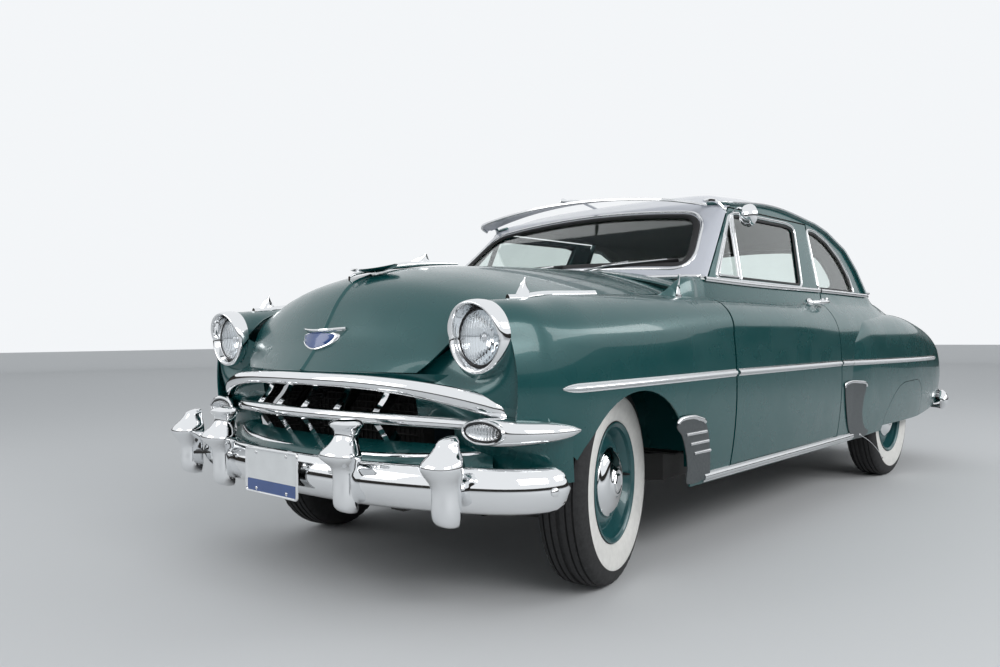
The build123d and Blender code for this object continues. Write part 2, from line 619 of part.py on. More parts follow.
def make_dash():
    front = firewall_x - 6 - seat_gap
    dash = side_prism([(760, 860), (740, 930), (760, 1020), (860, 1046), (front, 1030), (front, 1010),
                       (900, 1000), (860, 860)], -655, 655)
    column = Plane(origin=column_top, z_dir=column_axis) * Cylinder(
        19, 560, align=(Align.CENTER, Align.CENTER, Align.MAX))
    pin = Plane(origin=column_top, z_dir=column_axis) * Cylinder(
        10, 30, align=(Align.CENTER, Align.CENTER, Align.MIN))
    return dash + column + pin


def make_steering_wheel():
    wheel = Pos(0, 0, 5) * Cylinder(30, 34, align=(Align.CENTER, Align.CENTER, Align.MIN))
    wheel -= Cylinder(10 + pin_clearance, 64)
    wheel += Pos(0, 0, 44) * Torus(wheel_rim_radius, 12)
    for angle in (90, 210, 330):
        wheel += Rot(0, 0, angle) * Pos(wheel_rim_radius / 2 + 10, 0, 34) * Box(wheel_rim_radius - 20, 20, 12)
    return Plane(origin=column_top, z_dir=column_axis) * wheel


def make_visor():
    """The outside sun visor: a curved sheet standing out over the windshield."""
    profiles = []
    for x, crown, edge_y, edge_z in ((720, 1500, 640, 1432), (860, 1478, 650, 1420)):
        over = ThreePointArc((x, -edge_y, edge_z), (x, 0, crown), (x, edge_y, edge_z))
        under = ThreePointArc((x, edge_y, edge_z - 5), (x, 0, crown - 5), (x, -edge_y, edge_z - 5))
        profiles.append(make_face([over, Line(over @ 1, under @ 0), under, Line(under @ 1, over @ 0)]))
    visor = loft(profiles, ruled=True)
    visor += block(540, 730, -12, 12, 1456, 1496) - house(-seat_gap)
    foot = block(572, 730, 585, 600, 1424, drip_z - seat_gap) - glasshouse(-seat_gap)
    foot += block(660, 730, 585, 600, 1424, 1443)
    return visor + foot + mirrored(foot)


def side_strip(sections, x0, x1, z0, z1, proud, rise=0.0):
    """A moulding lying on the car's side between two heights."""
    layer = side_loft(sections, proud) - side_loft(sections, seat_gap, 160.0, 200.0)
    return layer & side_prism([(x0, z0), (x1, z0 + rise), (x1, z1 + rise), (x0, z1)], 300, 1000)


def make_mouldings():
    """Bright strips on the left side, fender and quarter, and those on the door."""
    root = [
        side_strip(side_sections, 994, 2060, 693, 717, 9, -12),
        side_strip(fender_sections, -1930, -340, 692, 712, 9, 6),
        side_strip(side_sections, 994, 1226, 300, 322, 9),
        side_strip(cabin_sections, -322, -178, 300, 322, 9),
    ]
    door = [side_strip(cabin_sections, -152, 974, 698, 718, 9, -4)]
    return root, door


def make_stone_guards():
    """The ribbed plate behind the front wheel and the plate before the rear one."""
    front = side_loft(side_sections, 5) - side_loft(side_sections, seat_gap, 160.0, 200.0)
    front &= side_prism([(1286, 326), (1400, 548), (1270, 540), (1160, 326)], 300, 1000)
    rear = side_loft(fender_sections, 5) - side_loft(fender_sections, seat_gap, 160.0, 200.0)
    rear &= side_prism([(-360, 600), (-620, 590), (-560, 480), (-500, 330), (-380, 325)], 300, 1000)
    return front, rear


def make_tail():
    """The panel below the deck lid and behind the wheels, with the tail lamps."""
    panel = [plan_arc_band(-2320, -2298 - seat_gap, 660, -8, 420, 708)]
    tulip = crown_loft([(-1290, 1080, 640, 1076, 8), (-1478, 1058, 570, 1031, 8)])
    for x0, x1, depth in ((-1400, -1200, wall_depth), (-1600, -1400, skin)):
        edge = side_loft(cabin_sections, seat_gap, 160, 100) - side_loft(cabin_sections, -depth - seat_gap, 300, 90)
        edge &= block(x0 - seat_gap, x1, 0, 1000, 0, 1400)
        tulip -= [edge, mirrored(edge)]
    tulip -= glasshouse(-seat_gap)
    for side in (1, -1):
        tulip += block(-1456, -1442, side * 166 - 3, side * 166 + 3, 1020, 1054)
        tulip += lid_pin(deck_axis, side * 153)
    panel.append(tulip)
    lamps = []
    for side in (1, -1):
        lamp = Plane(origin=(-2290 - seat_gap, side * 735, 740), z_dir=(-1, 0, 0)) * Circle(52)
        lamps.append(extrude(lamp, amount=30, taper=12))
    return panel, lamps


def make_exhaust():
    """Pipe and silencer under the floor's right side, to the tail."""
    path = FilletPolyline((950, -240, 310), (700, -240, 215), (-1000, -240, 215), (-1180, -300, 470),
                          (-1420, -300, 470), (-1570, -320, 345), (-2380, -330, 290), radius=60)
    pipe = sweep(Plane(origin=path @ 0, z_dir=path % 0) * Circle(22), path=path)
    muffler = Pos(-500, -240, 215) * Rot(0, 90, 0) * Cylinder(75, 620)
    hanger = block(-225, -200, -250, -230, 270, 300 - seat_gap)
    return pipe + muffler + hanger


def make_grille(grow=0.0):
    """Arched upper moulding, lower moulding, mid bar and five pointed teeth."""
    grille = None
    for end_x, end_y, end_z, mid_x, mid_z, deep, tall in (
            (2160, 762, 636, 2352, 716, 16, 17), (2168, 700, 520, 2330, 470, 14, 12),
            (2120, 640, 590, 2330, 600, 15, 14)):
        path = ThreePointArc((end_x, -end_y, end_z), (mid_x, 0, mid_z), (end_x, end_y, end_z))
        start = Plane(origin=path @ 0, z_dir=path % 0, x_dir=(0, 0, 1))
        bar = sweep(start * Ellipse(tall + grow, deep + grow), path=path)
        grille = bar if grille is None else grille + bar
    for y in (-330, -165, 0, 165, 330):
        x = 2330 - 130 * (y / 640) ** 2
        tooth = plan_prism([(x - 50, y - 24), (x + 26, y), (x - 50, y + 24)], 478, 706)
        grille += tooth
    return grille


def make_nose():
    """The panel round the headlights, between the hood and the grille, and the valance below."""
    upper = plan_arc_band(2334, 2183, 566 - seat_gap, 6, 690, 726) - make_grille(2 * seat_gap)
    lower = plan_arc_band(2300, 2120, 720, 6, 300, 452) - make_grille(2 * seat_gap)
    for side in (1, -1):
        lower -= block(2100, 2400, side * 370 - 15 - seat_gap, side * 370 + 15 + seat_gap, 300, 420 + seat_gap)
    return upper, lower


def plan_arc_band(mid_x, end_x, end_y, depth, z0, z1):
    """A band standing on an arc drawn in plan, mirrored about the middle."""
    face = make_face([
        ThreePointArc((end_x, -end_y, z0), (mid_x, 0, z0), (end_x, end_y, z0)),
        Line((end_x, end_y, z0), (end_x - depth, end_y, z0)),
        ThreePointArc((end_x - depth, end_y, z0), (mid_x - depth, 0, z0), (end_x - depth, -end_y, z0)),
        Line((end_x - depth, -end_y, z0), (end_x, -end_y, z0)),
    ])
    return extrude(face, amount=z1 - z0, dir=(0, 0, 1))


def bumper_bar(mid_x, shoulder_x, shoulder_y, wrap_x, wrap_y, end_x, end_y, z, tall, bow):
    """A pressed bar that bows forwards in section and wraps round the car's corners."""
    path = FilletPolyline((end_x, -end_y, z), (wrap_x, -wrap_y, z), (shoulder_x, -shoulder_y, z),
                          (mid_x, 0, z), (shoulder_x, shoulder_y, z), (wrap_x, wrap_y, z), (end_x, end_y, z),
                          radius=(90, 600, 1200, 600, 90))
    start = Plane(origin=path @ 0, z_dir=path % 0, x_dir=(0, 0, 1))
    half = tall / 2
    face = make_face([
        ThreePointArc((-half, 0), (0, bow), (half, 0)),
        Line((half, 0), (half - 6, -4)),
        ThreePointArc((half - 6, -4), (0, bow - 6), (6 - half, -4)),
        Line((6 - half, -4), (-half, 0)),
    ])
    return sweep(start * face, path=path)


def guard(x, y, z0, z1, deep, wide):
    """An upright bumper guard: flared foot, waist and cap."""
    profiles = []
    rows = ((0.0, 0.70, 0.75), (0.22, 1.0, 1.0), (0.5, 0.9, 0.85), (0.7, 0.62, 0.6), (0.9, 0.72, 0.7),
            (1.0, 0.5, 0.5))
    for share, d, w in rows:
        z = z0 + share * (z1 - z0)
        profiles.append(Pos(x - deep * (1 - d / 2), y, z) * RectangleRounded(deep * d, wide * w, 0.2 * wide * w))
    return loft(profiles, ruled=False)


os.makedirs("parts", exist_ok=True)

roof, fixed_glass = make_roof_and_glass()
save("roof", roof)
save("window_glass", *fixed_glass)
fender = make_front_fenders()
save("front_fenders", fender, mirrored(fender))
quarter, rear_fender, skirt = make_body_side()
save("quarter_panels", quarter, mirrored(quarter))
save("rear_fenders", rear_fender, mirrored(rear_fender))
save("fender_skirts", skirt, mirrored(skirt))
door, door_glass = make_doors()
save("left_door", door)
save("left_door_glass", door_glass)
save("right_door", mirrored(door))
save("right_door_glass", mirrored(door_glass))
save("hood", crown_loft(hood_sections) + lid_arm(hood_axis, 1, 100, 24) + lid_arm(hood_axis, 1, -100, 24))
save("deck_lid", crown_loft(deck_sections) + lid_arm(deck_axis, -1, 150, 18) + lid_arm(deck_axis, -1, -150, 18))
save("cowl", *make_cowl())
save("floor_pan", make_floor())
save("chassis_frame", make_frame())
save("front_suspension", make_suspension())
save("rear_axle", make_rear_axle())
for name, side, forward in (("left_front", 1, True), ("right_front", -1, True),
                            ("left_rear", 1, False), ("right_rear", -1, False)):
    track = front_track if forward else rear_track
    place = Pos(front_axle_x if forward else rear_axle_x, 0, 0)
    tyre = place * make_tyre(track / 2, side)
    wheel = place * make_wheel(track / 2, side)
    if forward:
        tyre = turned(tyre, side)
        wheel = turned(wheel, side)
    save(name + "_tyre", tyre)
    save(name + "_wheel", wheel)
save("left_knuckle", turned(make_knuckle(1), 1))
save("right_knuckle", turned(make_knuckle(-1), -1))
save("engine_block", block(1150, 1900, -150, 150, 402, 940) + block(
    1300, 1360, -380, 380, 390 + seat_gap, 425))
save("front_aprons", *make_aprons())
save("radiator", make_radiator())
save("grille", make_grille())
save("nose_panel", *make_nose())
chrome, lenses = make_lamps()
save("front_lamps", *chrome)
save("lamp_lenses", *lenses)
bar = bumper_bar(2406, 2385, 359, 2225, 866, 2050, 908, 410, 130, 34)
for y in (359, 728):
    for side in (1, -1):
        bar += guard(half_length if y < 400 else 2432, side * y, 318, 603 if y < 400 else 573, 120 if y < 400 else 150, 90)
for side in (1, -1):
    bar += block(2130, 2400, side * 370 - 15, side * 370 + 15, 390 + seat_gap, 420)
bracket = block(2400, plate_face_x, -110, 110, 340, 480)
for y in (-plate_spacing[0] / 2, plate_spacing[0] / 2):
    for z in (-plate_spacing[1] / 2, plate_spacing[1] / 2):
        bracket -= Pos(plate_face_x, y, bumper_z + z) * Rot(0, 90, 0) * Cylinder(plate_hole_radius, 30)
save("front_bumper", bar + bracket)
rear_bar = mirror(bumper_bar(2416, 2396, 420, 2290, 850, 2120, 905, 400, 130, 34), Plane.YZ)
for side in (1, -1):
    rear_bar += mirror(guard(half_length, side * 420, 318, 540, 110, 90), Plane.YZ)
    rear_bar += block(-2395, -2150, side * (535 + seat_gap) - 15, side * (535 + seat_gap) + 15, 370, 410)
save("rear_bumper", rear_bar)
save("front_seat", make_seat(-80, 440, 520, 680, -180, -50, 1110, 110, 640))
save("rear_seat", make_seat(-1120, -640, 520 + seat_gap, 690, -1220, -1090, 1080, 90, 545))
save("seat_base", block(-40, 390, -600, 600, 378 + seat_gap, 520 - seat_gap) - block(-30, 380, -590, 590, 300, 510)
     - block(-50, 400, -112, 112, 300, 506))
save("dashboard", make_dash())
save("steering_wheel", make_steering_wheel())
save("sun_visor", make_visor())
trim, door_trim = make_mouldings()
save("body_mouldings", *trim, *[mirrored(strip) for strip in trim])
save("left_door_trim", *door_trim)
save("right_door_trim", *[mirrored(strip) for strip in door_trim])
guards = make_stone_guards()
save("stone_guards", *guards, *[mirrored(plate) for plate in guards])
panel, lamps = make_tail()
save("rear_body_panel", *panel)
save("tail_lamps", *lamps)
save("exhaust", make_exhaust())
save("fuel_tank", fillet(block(-2190, -1750, -400, 400, 445, 614 - seat_gap).edges(), 30))
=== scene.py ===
import bpy, bmesh, json
from math import ceil, cos, hypot, pi, radians, sin, sqrt
from mathutils import Matrix, Vector


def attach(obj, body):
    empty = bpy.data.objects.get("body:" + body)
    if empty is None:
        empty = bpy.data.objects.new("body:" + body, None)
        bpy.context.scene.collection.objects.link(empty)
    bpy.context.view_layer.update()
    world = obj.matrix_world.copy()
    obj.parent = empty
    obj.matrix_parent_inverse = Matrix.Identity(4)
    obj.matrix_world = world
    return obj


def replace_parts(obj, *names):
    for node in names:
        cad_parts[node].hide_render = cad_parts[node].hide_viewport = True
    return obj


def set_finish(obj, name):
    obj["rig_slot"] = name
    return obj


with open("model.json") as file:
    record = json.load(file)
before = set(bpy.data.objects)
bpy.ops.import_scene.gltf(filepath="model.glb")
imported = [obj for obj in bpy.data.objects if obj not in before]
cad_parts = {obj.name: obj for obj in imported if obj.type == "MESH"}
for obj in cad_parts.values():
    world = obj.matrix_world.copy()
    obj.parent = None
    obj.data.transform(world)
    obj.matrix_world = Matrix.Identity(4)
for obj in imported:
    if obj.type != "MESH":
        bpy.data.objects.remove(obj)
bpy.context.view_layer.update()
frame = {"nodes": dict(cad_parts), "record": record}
print("frame loaded:", len(frame["nodes"]), "nodes")

sides = ((1, "left"), (-1, "right"))

# camera and light
camera = dict(place=(3.9419, 2.3637, 0.8537), yaw=-137.934, pitch=0.197, roll=-0.468, lens=29.216)
light = dict(worldStrength=0.55, floorColor=(0.66, 0.67, 0.68), backColor=(0.90, 0.92, 0.94),
             floorHalf=60, keyPower=190, fillPower=80, rimPower=110)
horizon = dict(radius=22, low=0.05, high=3.4, steps=64, color=(0.045, 0.04, 0.035))


# a circle of points, for wires, rings and the stage
def circle(radius, count):
    return [(radius * cos(2 * pi * k / count), radius * sin(2 * pi * k / count)) for k in range(count)]


# the faces between a loop of points and the next one
def wallFaces(count):
    return [(k, (k + 1) % count, count + (k + 1) % count, count + k) for k in range(count)]


def addCamera():
    yaw, pitch, roll = (radians(camera[k]) for k in ("yaw", "pitch", "roll"))
    ahead = Vector((cos(yaw) * cos(pitch), sin(yaw) * cos(pitch), sin(pitch)))
    right = ahead.cross(Vector((0, 0, 1))).normalized()
    up = right.cross(ahead)
    right, up = cos(roll) * right + sin(roll) * up, cos(roll) * up - sin(roll) * right
    data = bpy.data.cameras.new("camera")
    data.lens = camera["lens"]
    data.sensor_width = 36
    data.clip_end = 200
    obj = bpy.data.objects.new("camera", data)
    bpy.context.collection.objects.link(obj)
    spin = Matrix((right, up, -ahead)).transposed().to_4x4()
    obj.matrix_world = Matrix.Translation(camera["place"]) @ spin
    bpy.context.scene.camera = obj


def plainNodes(name):
    mat = bpy.data.materials.new(name)
    mat.use_nodes = True
    mat.node_tree.nodes.clear()
    return mat, mat.node_tree.nodes, mat.node_tree.links


def addWorld():
    world = bpy.data.worlds.new("studio")
    bpy.context.scene.world = world
    world.use_nodes = True
    nodes, links = world.node_tree.nodes, world.node_tree.links
    nodes.clear()
    path = nodes.new("ShaderNodeLightPath")
    seen = nodes.new("ShaderNodeMath")
    seen.operation = "MAXIMUM"
    links.new(path.outputs["Is Camera Ray"], seen.inputs[0])
    links.new(path.outputs["Is Transmission Ray"], seen.inputs[1])
    shiny = nodes.new("ShaderNodeMath")
    shiny.operation = "MAXIMUM"
    links.new(seen.outputs[0], shiny.inputs[0])
    links.new(path.outputs["Is Glossy Ray"], shiny.inputs[1])
    sky, back, mix, out = (nodes.new("ShaderNodeBackground"), nodes.new("ShaderNodeBackground"),
                           nodes.new("ShaderNodeMixShader"), nodes.new("ShaderNodeOutputWorld"))
    sky.inputs["Strength"].default_value = light["worldStrength"]
    back.inputs["Color"].default_value = (*light["backColor"], 1)
    links.new(shiny.outputs[0], mix.inputs[0])
    sky.inputs["Color"].default_value = (0.93, 0.97, 1.0, 1)
    links.new(sky.outputs[0], mix.inputs[1])
    links.new(back.outputs[0], mix.inputs[2])
    links.new(mix.outputs[0], out.inputs[0])


def principled(name, color, rough, metal=0.0, **sockets):
    mat, nodes, links = plainNodes(name)
    shader, out = nodes.new("ShaderNodeBsdfPrincipled"), nodes.new("ShaderNodeOutputMaterial")
    shader.inputs["Base Color"].default_value = (*color, 1)
    shader.inputs["Roughness"].default_value = rough
    shader.inputs["Metallic"].default_value = metal
    for key, value in sockets.items():
        shader.inputs[key.replace("_", " ")].default_value = value
    links.new(shader.outputs[0], out.inputs[0])
    return mat, nodes, links, shader


# a piece of the stage: a mesh in one plain color
def stagePiece(name, verts, faces, matName, color, rough):
    mesh = bpy.data.meshes.new(name)
    mesh.from_pydata(verts, [], faces)
    mesh.materials.append(principled(matName, color, rough)[0])
    piece = bpy.data.objects.new(name, mesh)
    bpy.context.collection.objects.link(piece)
    return piece


def addFloor():
    half = light["floorHalf"]
    floor = stagePiece("floor", [(-half, -half, 0), (half, -half, 0), (half, half, 0), (-half, half, 0)],
                       [(0, 1, 2, 3)], "paleFloor", light["floorColor"], 0.9)
    floor.location.z = -0.001


# a dark ring round the stage that only reflections show, as a street's far side does in chrome
def addHorizon():
    verts = [(a, b, z) for z in (horizon["low"], horizon["high"])
             for a, b in circle(horizon["radius"], horizon["steps"])]
    ring = stagePiece("farSide", verts, wallFaces(horizon["steps"]), "farSide", horizon["color"], 1.0)
    ring.visible_camera = ring.visible_diffuse = ring.visible_transmission = ring.visible_shadow = False


def addLamp(name, place, aim, size, power):
    data = bpy.data.lights.new(name, "AREA")
    data.shape, data.size, data.size_y, data.energy = "RECTANGLE", size[0], size[1], power
    lamp = bpy.data.objects.new(name, data)
    lamp.location = place
    lamp.rotation_euler = (Vector(aim) - Vector(place)).to_track_quat("-Z", "Y").to_euler()
    bpy.context.collection.objects.link(lamp)


addCamera()
addWorld()
addFloor()
addHorizon()
addLamp("key", (3.5, 6.5, 4.5), (0.3, 0, 0.7), (5.0, 2.5), light["keyPower"])
addLamp("fill", (6.5, -3.0, 3.5), (1.0, 0, 0.7), (4.0, 2.5), light["fillPower"])
addLamp("rim", (-3.0, 5.5, 4.0), (-0.8, 0, 0.9), (5.0, 1.6), light["rimPower"])
bpy.context.scene.view_settings.view_transform = "Standard"
print("camera and light ready")

# finishes
finish = dict(
    tealPaint=dict(color=(0.004, 0.074, 0.076), metal=0.25, rough=0.27, coat=0.5, flake=0.22),
    palePaint=dict(color=(0.52, 0.54, 0.60), metal=0.0, rough=0.32, coat=0.7, flake=0.05),
    wheelPaint=dict(color=(0.014, 0.085, 0.092), metal=0.1, rough=0.35, coat=0.6, flake=0.08),
    dashPaint=dict(color=(0.02, 0.10, 0.085), metal=0.1, rough=0.40, coat=0.4, flake=0.05),
    frameBlack=dict(color=(0.018, 0.017, 0.016), metal=0.1, rough=0.55, coat=0.0, flake=0.5),
)


def noiseNode(nodes, links, scale, detail=4.0, stretch=None):
    coords, noise = nodes.new("ShaderNodeTexCoord"), nodes.new("ShaderNodeTexNoise")
    noise.inputs["Scale"].default_value = scale
    noise.inputs["Detail"].default_value = detail
    if stretch:
        mapping = nodes.new("ShaderNodeMapping")
        mapping.inputs["Scale"].default_value = stretch
        links.new(coords.outputs["Object"], mapping.inputs[0])
        links.new(mapping.outputs[0], noise.inputs["Vector"])
    else:
        links.new(coords.outputs["Object"], noise.inputs["Vector"])
    return noise


def rampNode(nodes, links, source, stops):
    ramp = nodes.new("ShaderNodeValToRGB")
    ramp.color_ramp.elements[0].position, ramp.color_ramp.elements[1].position = stops[0][0], stops[-1][0]
    ramp.color_ramp.elements[0].color = (*stops[0][1], 1)
    ramp.color_ramp.elements[1].color = (*stops[-1][1], 1)
    for place, color in stops[1:-1]:
        ramp.color_ramp.elements.new(place).color = (*color, 1)
    links.new(source, ramp.inputs[0])
    return ramp


def bumpInto(nodes, links, shader, height, strength, distance):
    bump = nodes.new("ShaderNodeBump")
    bump.inputs["Strength"].default_value = strength
    bump.inputs["Distance"].default_value = distance
    links.new(height, bump.inputs["Height"])
    links.new(bump.outputs[0], shader.inputs["Normal"])


def shades(color, spread):
    return tuple(c * (1 - spread) for c in color), tuple(min(1, c * (1 + spread)) for c in color)


def makePaint(name):
    f = finish[name]
    mat, nodes, links, shader = principled(name, f["color"], f["rough"], f["metal"],
                                           Coat_Weight=f["coat"], Coat_Roughness=0.04)
    flakes = noiseNode(nodes, links, 900, 2)
    dark, bright = shades(f["color"], f["flake"])
    ramp = rampNode(nodes, links, flakes.outputs[0], [(0.35, dark), (0.65, bright)])
    links.new(ramp.outputs[0], shader.inputs["Base Color"])
    ripple = noiseNode(nodes, links, 7, 3)
    rough = rampNode(nodes, links, ripple.outputs[0], [(0.3, (f["rough"] * 0.85,) * 3),
                                                       (0.7, (f["rough"] * 1.2,) * 3)])
    links.new(rough.outputs[0], shader.inputs["Roughness"])
    peel = noiseNode(nodes, links, 240, 1)
    bumpInto(nodes, links, shader, peel.outputs[0], 0.03, 0.0004)
    return mat


def makeMetal(name, color, rough, spread, bump=0.02, scale=30, stretch=None):
    mat, nodes, links, shader = principled(name, color, rough, 1.0)
    noise = noiseNode(nodes, links, scale, 5, stretch)
    ramp = rampNode(nodes, links, noise.outputs[0], [(0.35, (rough * (1 - spread),) * 3),
                                                     (0.72, (rough * (1 + spread),) * 3)])
    links.new(ramp.outputs[0], shader.inputs["Roughness"])
    bumpInto(nodes, links, shader, noise.outputs[0], bump, 0.0006)
    return mat


def makeGlass(name, color, rough=0.0, flutes=0):
    mat, nodes, links, shader = principled(name, color, rough, 0.0, Transmission_Weight=1.0, IOR=1.45)
    noise = noiseNode(nodes, links, 4, 2)
    dark, bright = shades(color, 0.02)
    ramp = rampNode(nodes, links, noise.outputs[0], [(0.3, dark), (0.7, bright)])
    links.new(ramp.outputs[0], shader.inputs["Base Color"])
    if flutes:
        coords, wave = nodes.new("ShaderNodeTexCoord"), nodes.new("ShaderNodeTexWave")
        wave.bands_direction = "Y"
        wave.inputs["Scale"].default_value = flutes
        links.new(coords.outputs["Object"], wave.inputs["Vector"])
        bumpInto(nodes, links, shader, wave.outputs[1], 0.35, 0.002)
    return mat


def makeMatte(name, color, rough, spread=0.25, scale=60, bump=0.15, distance=0.0008, **sockets):
    mat, nodes, links, shader = principled(name, color, rough, 0.0, **sockets)
    noise = noiseNode(nodes, links, scale, 6)
    dark, bright = shades(color, spread)
    ramp = rampNode(nodes, links, noise.outputs[0], [(0.3, dark), (0.7, bright)])
    links.new(ramp.outputs[0], shader.inputs["Base Color"])
    bumpInto(nodes, links, shader, noise.outputs[0], bump, distance)
    return mat


def makeCloth(name, color, second, pitch):
    mat, nodes, links, shader = principled(name, color, 0.85, 0.0, Sheen_Weight=0.35, Sheen_Roughness=0.5)
    coords = nodes.new("ShaderNodeTexCoord")
    waves = []
    for direction in ("X", "Y", "Z"):
        wave = nodes.new("ShaderNodeTexWave")
        wave.bands_direction = direction
        wave.inputs["Scale"].default_value = pitch
        wave.inputs["Distortion"].default_value = 0.6
        links.new(coords.outputs["Object"], wave.inputs["Vector"])
        waves.append(wave)
    weave = nodes.new("ShaderNodeMath")
    weave.operation = "ADD"
    links.new(waves[0].outputs[1], weave.inputs[0])
    both = nodes.new("ShaderNodeMath")
    both.operation = "ADD"
    links.new(waves[1].outputs[1], both.inputs[0])
    links.new(waves[2].outputs[1], both.inputs[1])
    links.new(both.outputs[0], weave.inputs[1])
    ramp = rampNode(nodes, links, weave.outputs[0], [(0.3, color), (0.9, second)])
    links.new(ramp.outputs[0], shader.inputs["Base Color"])
    bumpInto(nodes, links, shader, weave.outputs[0], 0.3, 0.0008)
    return mat


mats = {name: makePaint(name) for name in finish}
mats.update(
    chrome=makeMetal("chrome", (0.86, 0.87, 0.88), 0.055, 0.6, 0.015, 12),
    stainless=makeMetal("stainless", (0.74, 0.75, 0.76), 0.17, 0.35, 0.03, 40, (1, 12, 12)),
    castIron=makeMetal("castIron", (0.16, 0.155, 0.15), 0.55, 0.3, 0.3, 80),
    exhaustSteel=makeMetal("exhaustSteel", (0.30, 0.26, 0.23), 0.48, 0.3, 0.2, 40),
    mirrorGlass=makeMetal("mirrorGlass", (0.80, 0.83, 0.85), 0.02, 0.1, 0.0, 5),
    windowGlass=makeGlass("windowGlass", (0.88, 0.94, 0.92)),
    lampGlass=makeGlass("lampGlass", (0.95, 0.96, 0.97), 0.02, 26),
    redGlass=makeGlass("redGlass", (0.55, 0.02, 0.02), 0.08, 20),
    tyreRubber=makeMatte("tyreRubber", (0.018, 0.018, 0.019), 0.78, 0.3, 90, 0.25),
    whiteRubber=makeMatte("whiteRubber", (0.74, 0.73, 0.70), 0.60, 0.06, 40, 0.1),
    darkRubber=makeMatte("darkRubber", (0.012, 0.012, 0.013), 0.65, 0.2, 120, 0.15),
    radiatorBlack=makeMatte("radiatorBlack", (0.012, 0.012, 0.012), 0.7, 0.3, 200, 0.5, 0.002),
    darkTrim=makeMatte("darkTrim", (0.03, 0.034, 0.034), 0.8, 0.25, 150, 0.3),
    headliner=makeMatte("headliner", (0.32, 0.31, 0.29), 0.9, 0.08, 180, 0.3),
    seatCloth=makeCloth("seatCloth", (0.055, 0.10, 0.085), (0.13, 0.19, 0.165), 260),
    seatVinyl=makeMatte("seatVinyl", (0.035, 0.075, 0.065), 0.45, 0.15, 140, 0.35),
    wheelPlastic=makeMatte("wheelPlastic", (0.015, 0.07, 0.06), 0.28, 0.1, 20, 0.03, Coat_Weight=0.5),
    paleEnamel=makeMatte("paleEnamel", (0.72, 0.74, 0.75), 0.30, 0.04, 15, 0.03),
    enginePaint=makeMatte("enginePaint", (0.035, 0.055, 0.075), 0.45, 0.3, 30, 0.2),
    floorPaint=makeMatte("floorPaint", (0.028, 0.028, 0.027), 0.7, 0.35, 25, 0.3, 0.001),
    shieldGrey=makeMatte("shieldGrey", (0.075, 0.085, 0.09), 0.42, 0.2, 120, 0.12, Metallic=0.3),
    blueEnamel=makeMatte("blueEnamel", (0.02, 0.07, 0.25), 0.25, 0.1, 15, 0.03, Coat_Weight=0.6),
)
slots = dict(tealPaint="teal_paint", palePaint="pale_paint", wheelPaint="wheel_paint", dashPaint="dash_paint",
             frameBlack="frame_black", chrome="chrome", stainless="stainless", castIron="cast_iron",
             exhaustSteel="exhaust_steel", windowGlass="glass", lampGlass="lamp_glass", redGlass="red_glass",
             tyreRubber="tyre", whiteRubber="tyre", radiatorBlack="radiator_black", seatCloth="seat_cloth",
             seatVinyl="seat_cloth", wheelPlastic="wheel_plastic")
print("finishes ready:", len(mats))

# mesh tools
def addObject(name, verts, faces, body, mat, angle=32, closed=True):
    mesh = bpy.data.meshes.new(name)
    mesh.from_pydata([tuple(v) for v in verts], [], faces)
    bm = bmesh.new()
    bm.from_mesh(mesh)
    bmesh.ops.remove_doubles(bm, verts=bm.verts, dist=1e-5)
    if closed:
        bmesh.ops.recalc_face_normals(bm, faces=bm.faces)
    bm.to_mesh(mesh)
    bm.free()
    obj = bpy.data.objects.new(name, mesh)
    bpy.context.collection.objects.link(obj)
    return dress(obj, body, mat, angle)


def dress(obj, body, mat, angle=32):
    obj.data.materials.clear()
    for entry in mat if isinstance(mat, tuple) else (mat,):
        obj.data.materials.append(mats[entry])
    smooth(obj, angle)
    first = mat[0] if isinstance(mat, tuple) else mat
    if first in slots and slots[first] in {m["slot"] for m in frame["record"]["materials"]}:
        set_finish(obj, slots[first])
    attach(obj, body)
    return obj


def smooth(obj, angle=32):
    obj.data.polygons.foreach_set("use_smooth", [True] * len(obj.data.polygons))
    obj.data.set_sharp_from_angle(angle=radians(angle))


# The object with its modifiers made part of its mesh.
def applied(obj, angle=32):
    graph = bpy.context.evaluated_depsgraph_get()
    mesh = bpy.data.meshes.new_from_object(obj.evaluated_get(graph))
    old = obj.data
    obj.modifiers.clear()
    obj.data = mesh
    bpy.data.meshes.remove(old)
    smooth(obj, angle)
    return obj


def gridFaces(rows, cols, wrap=False):
    faces = []
    for i in range(rows - 1):
        for k in range(cols - (0 if wrap else 1)):
            n = (k + 1) % cols
            faces.append((i * cols + k, i * cols + n, (i + 1) * cols + n, (i + 1) * cols + k))
    return faces


# A curved sheet from rows of points, thickened inwards.
def addSheet(name, grid, outward, thick, body, mat, angle=32):
    cols = len(grid[0])
    verts = [Vector(p) for row in grid for p in row]
    faces = gridFaces(len(grid), cols)
    mid = faces[(len(grid) - 1) // 2 * (cols - 1) + (cols - 1) // 2]
    a, b, c = (verts[mid[k]] for k in (0, 1, 2))
    if (b - a).cross(c - a).dot(Vector(outward)) < 0:
        faces = [f[::-1] for f in faces]
    obj = addObject(name, verts, faces, body, mat, angle, closed=False)
    if thick:
        shell = obj.modifiers.new("thick", "SOLIDIFY")
        shell.thickness, shell.offset = thick, -1
        applied(obj, angle)
    return obj


def addLoft(name, loops, body, mat, angle=32, caps=True):
    cols = len(loops[0])
    verts = [v for loop in loops for v in loop]
    faces = gridFaces(len(loops), cols, wrap=True)
    if caps:
        faces.append(tuple(range(cols))[::-1])
        faces.append(tuple(range(len(verts) - cols, len(verts))))
    return addObject(name, verts, faces, body, mat, angle)


# The point a share t of the way from b to c, with the tangents there.
def hermite(b, c, tangentB, tangentC, t):
    return (b * (2 * t**3 - 3 * t**2 + 1) + tangentB * (t**3 - 2 * t**2 + t)
            + c * (3 * t**2 - 2 * t**3) + tangentC * (t**3 - t**2))


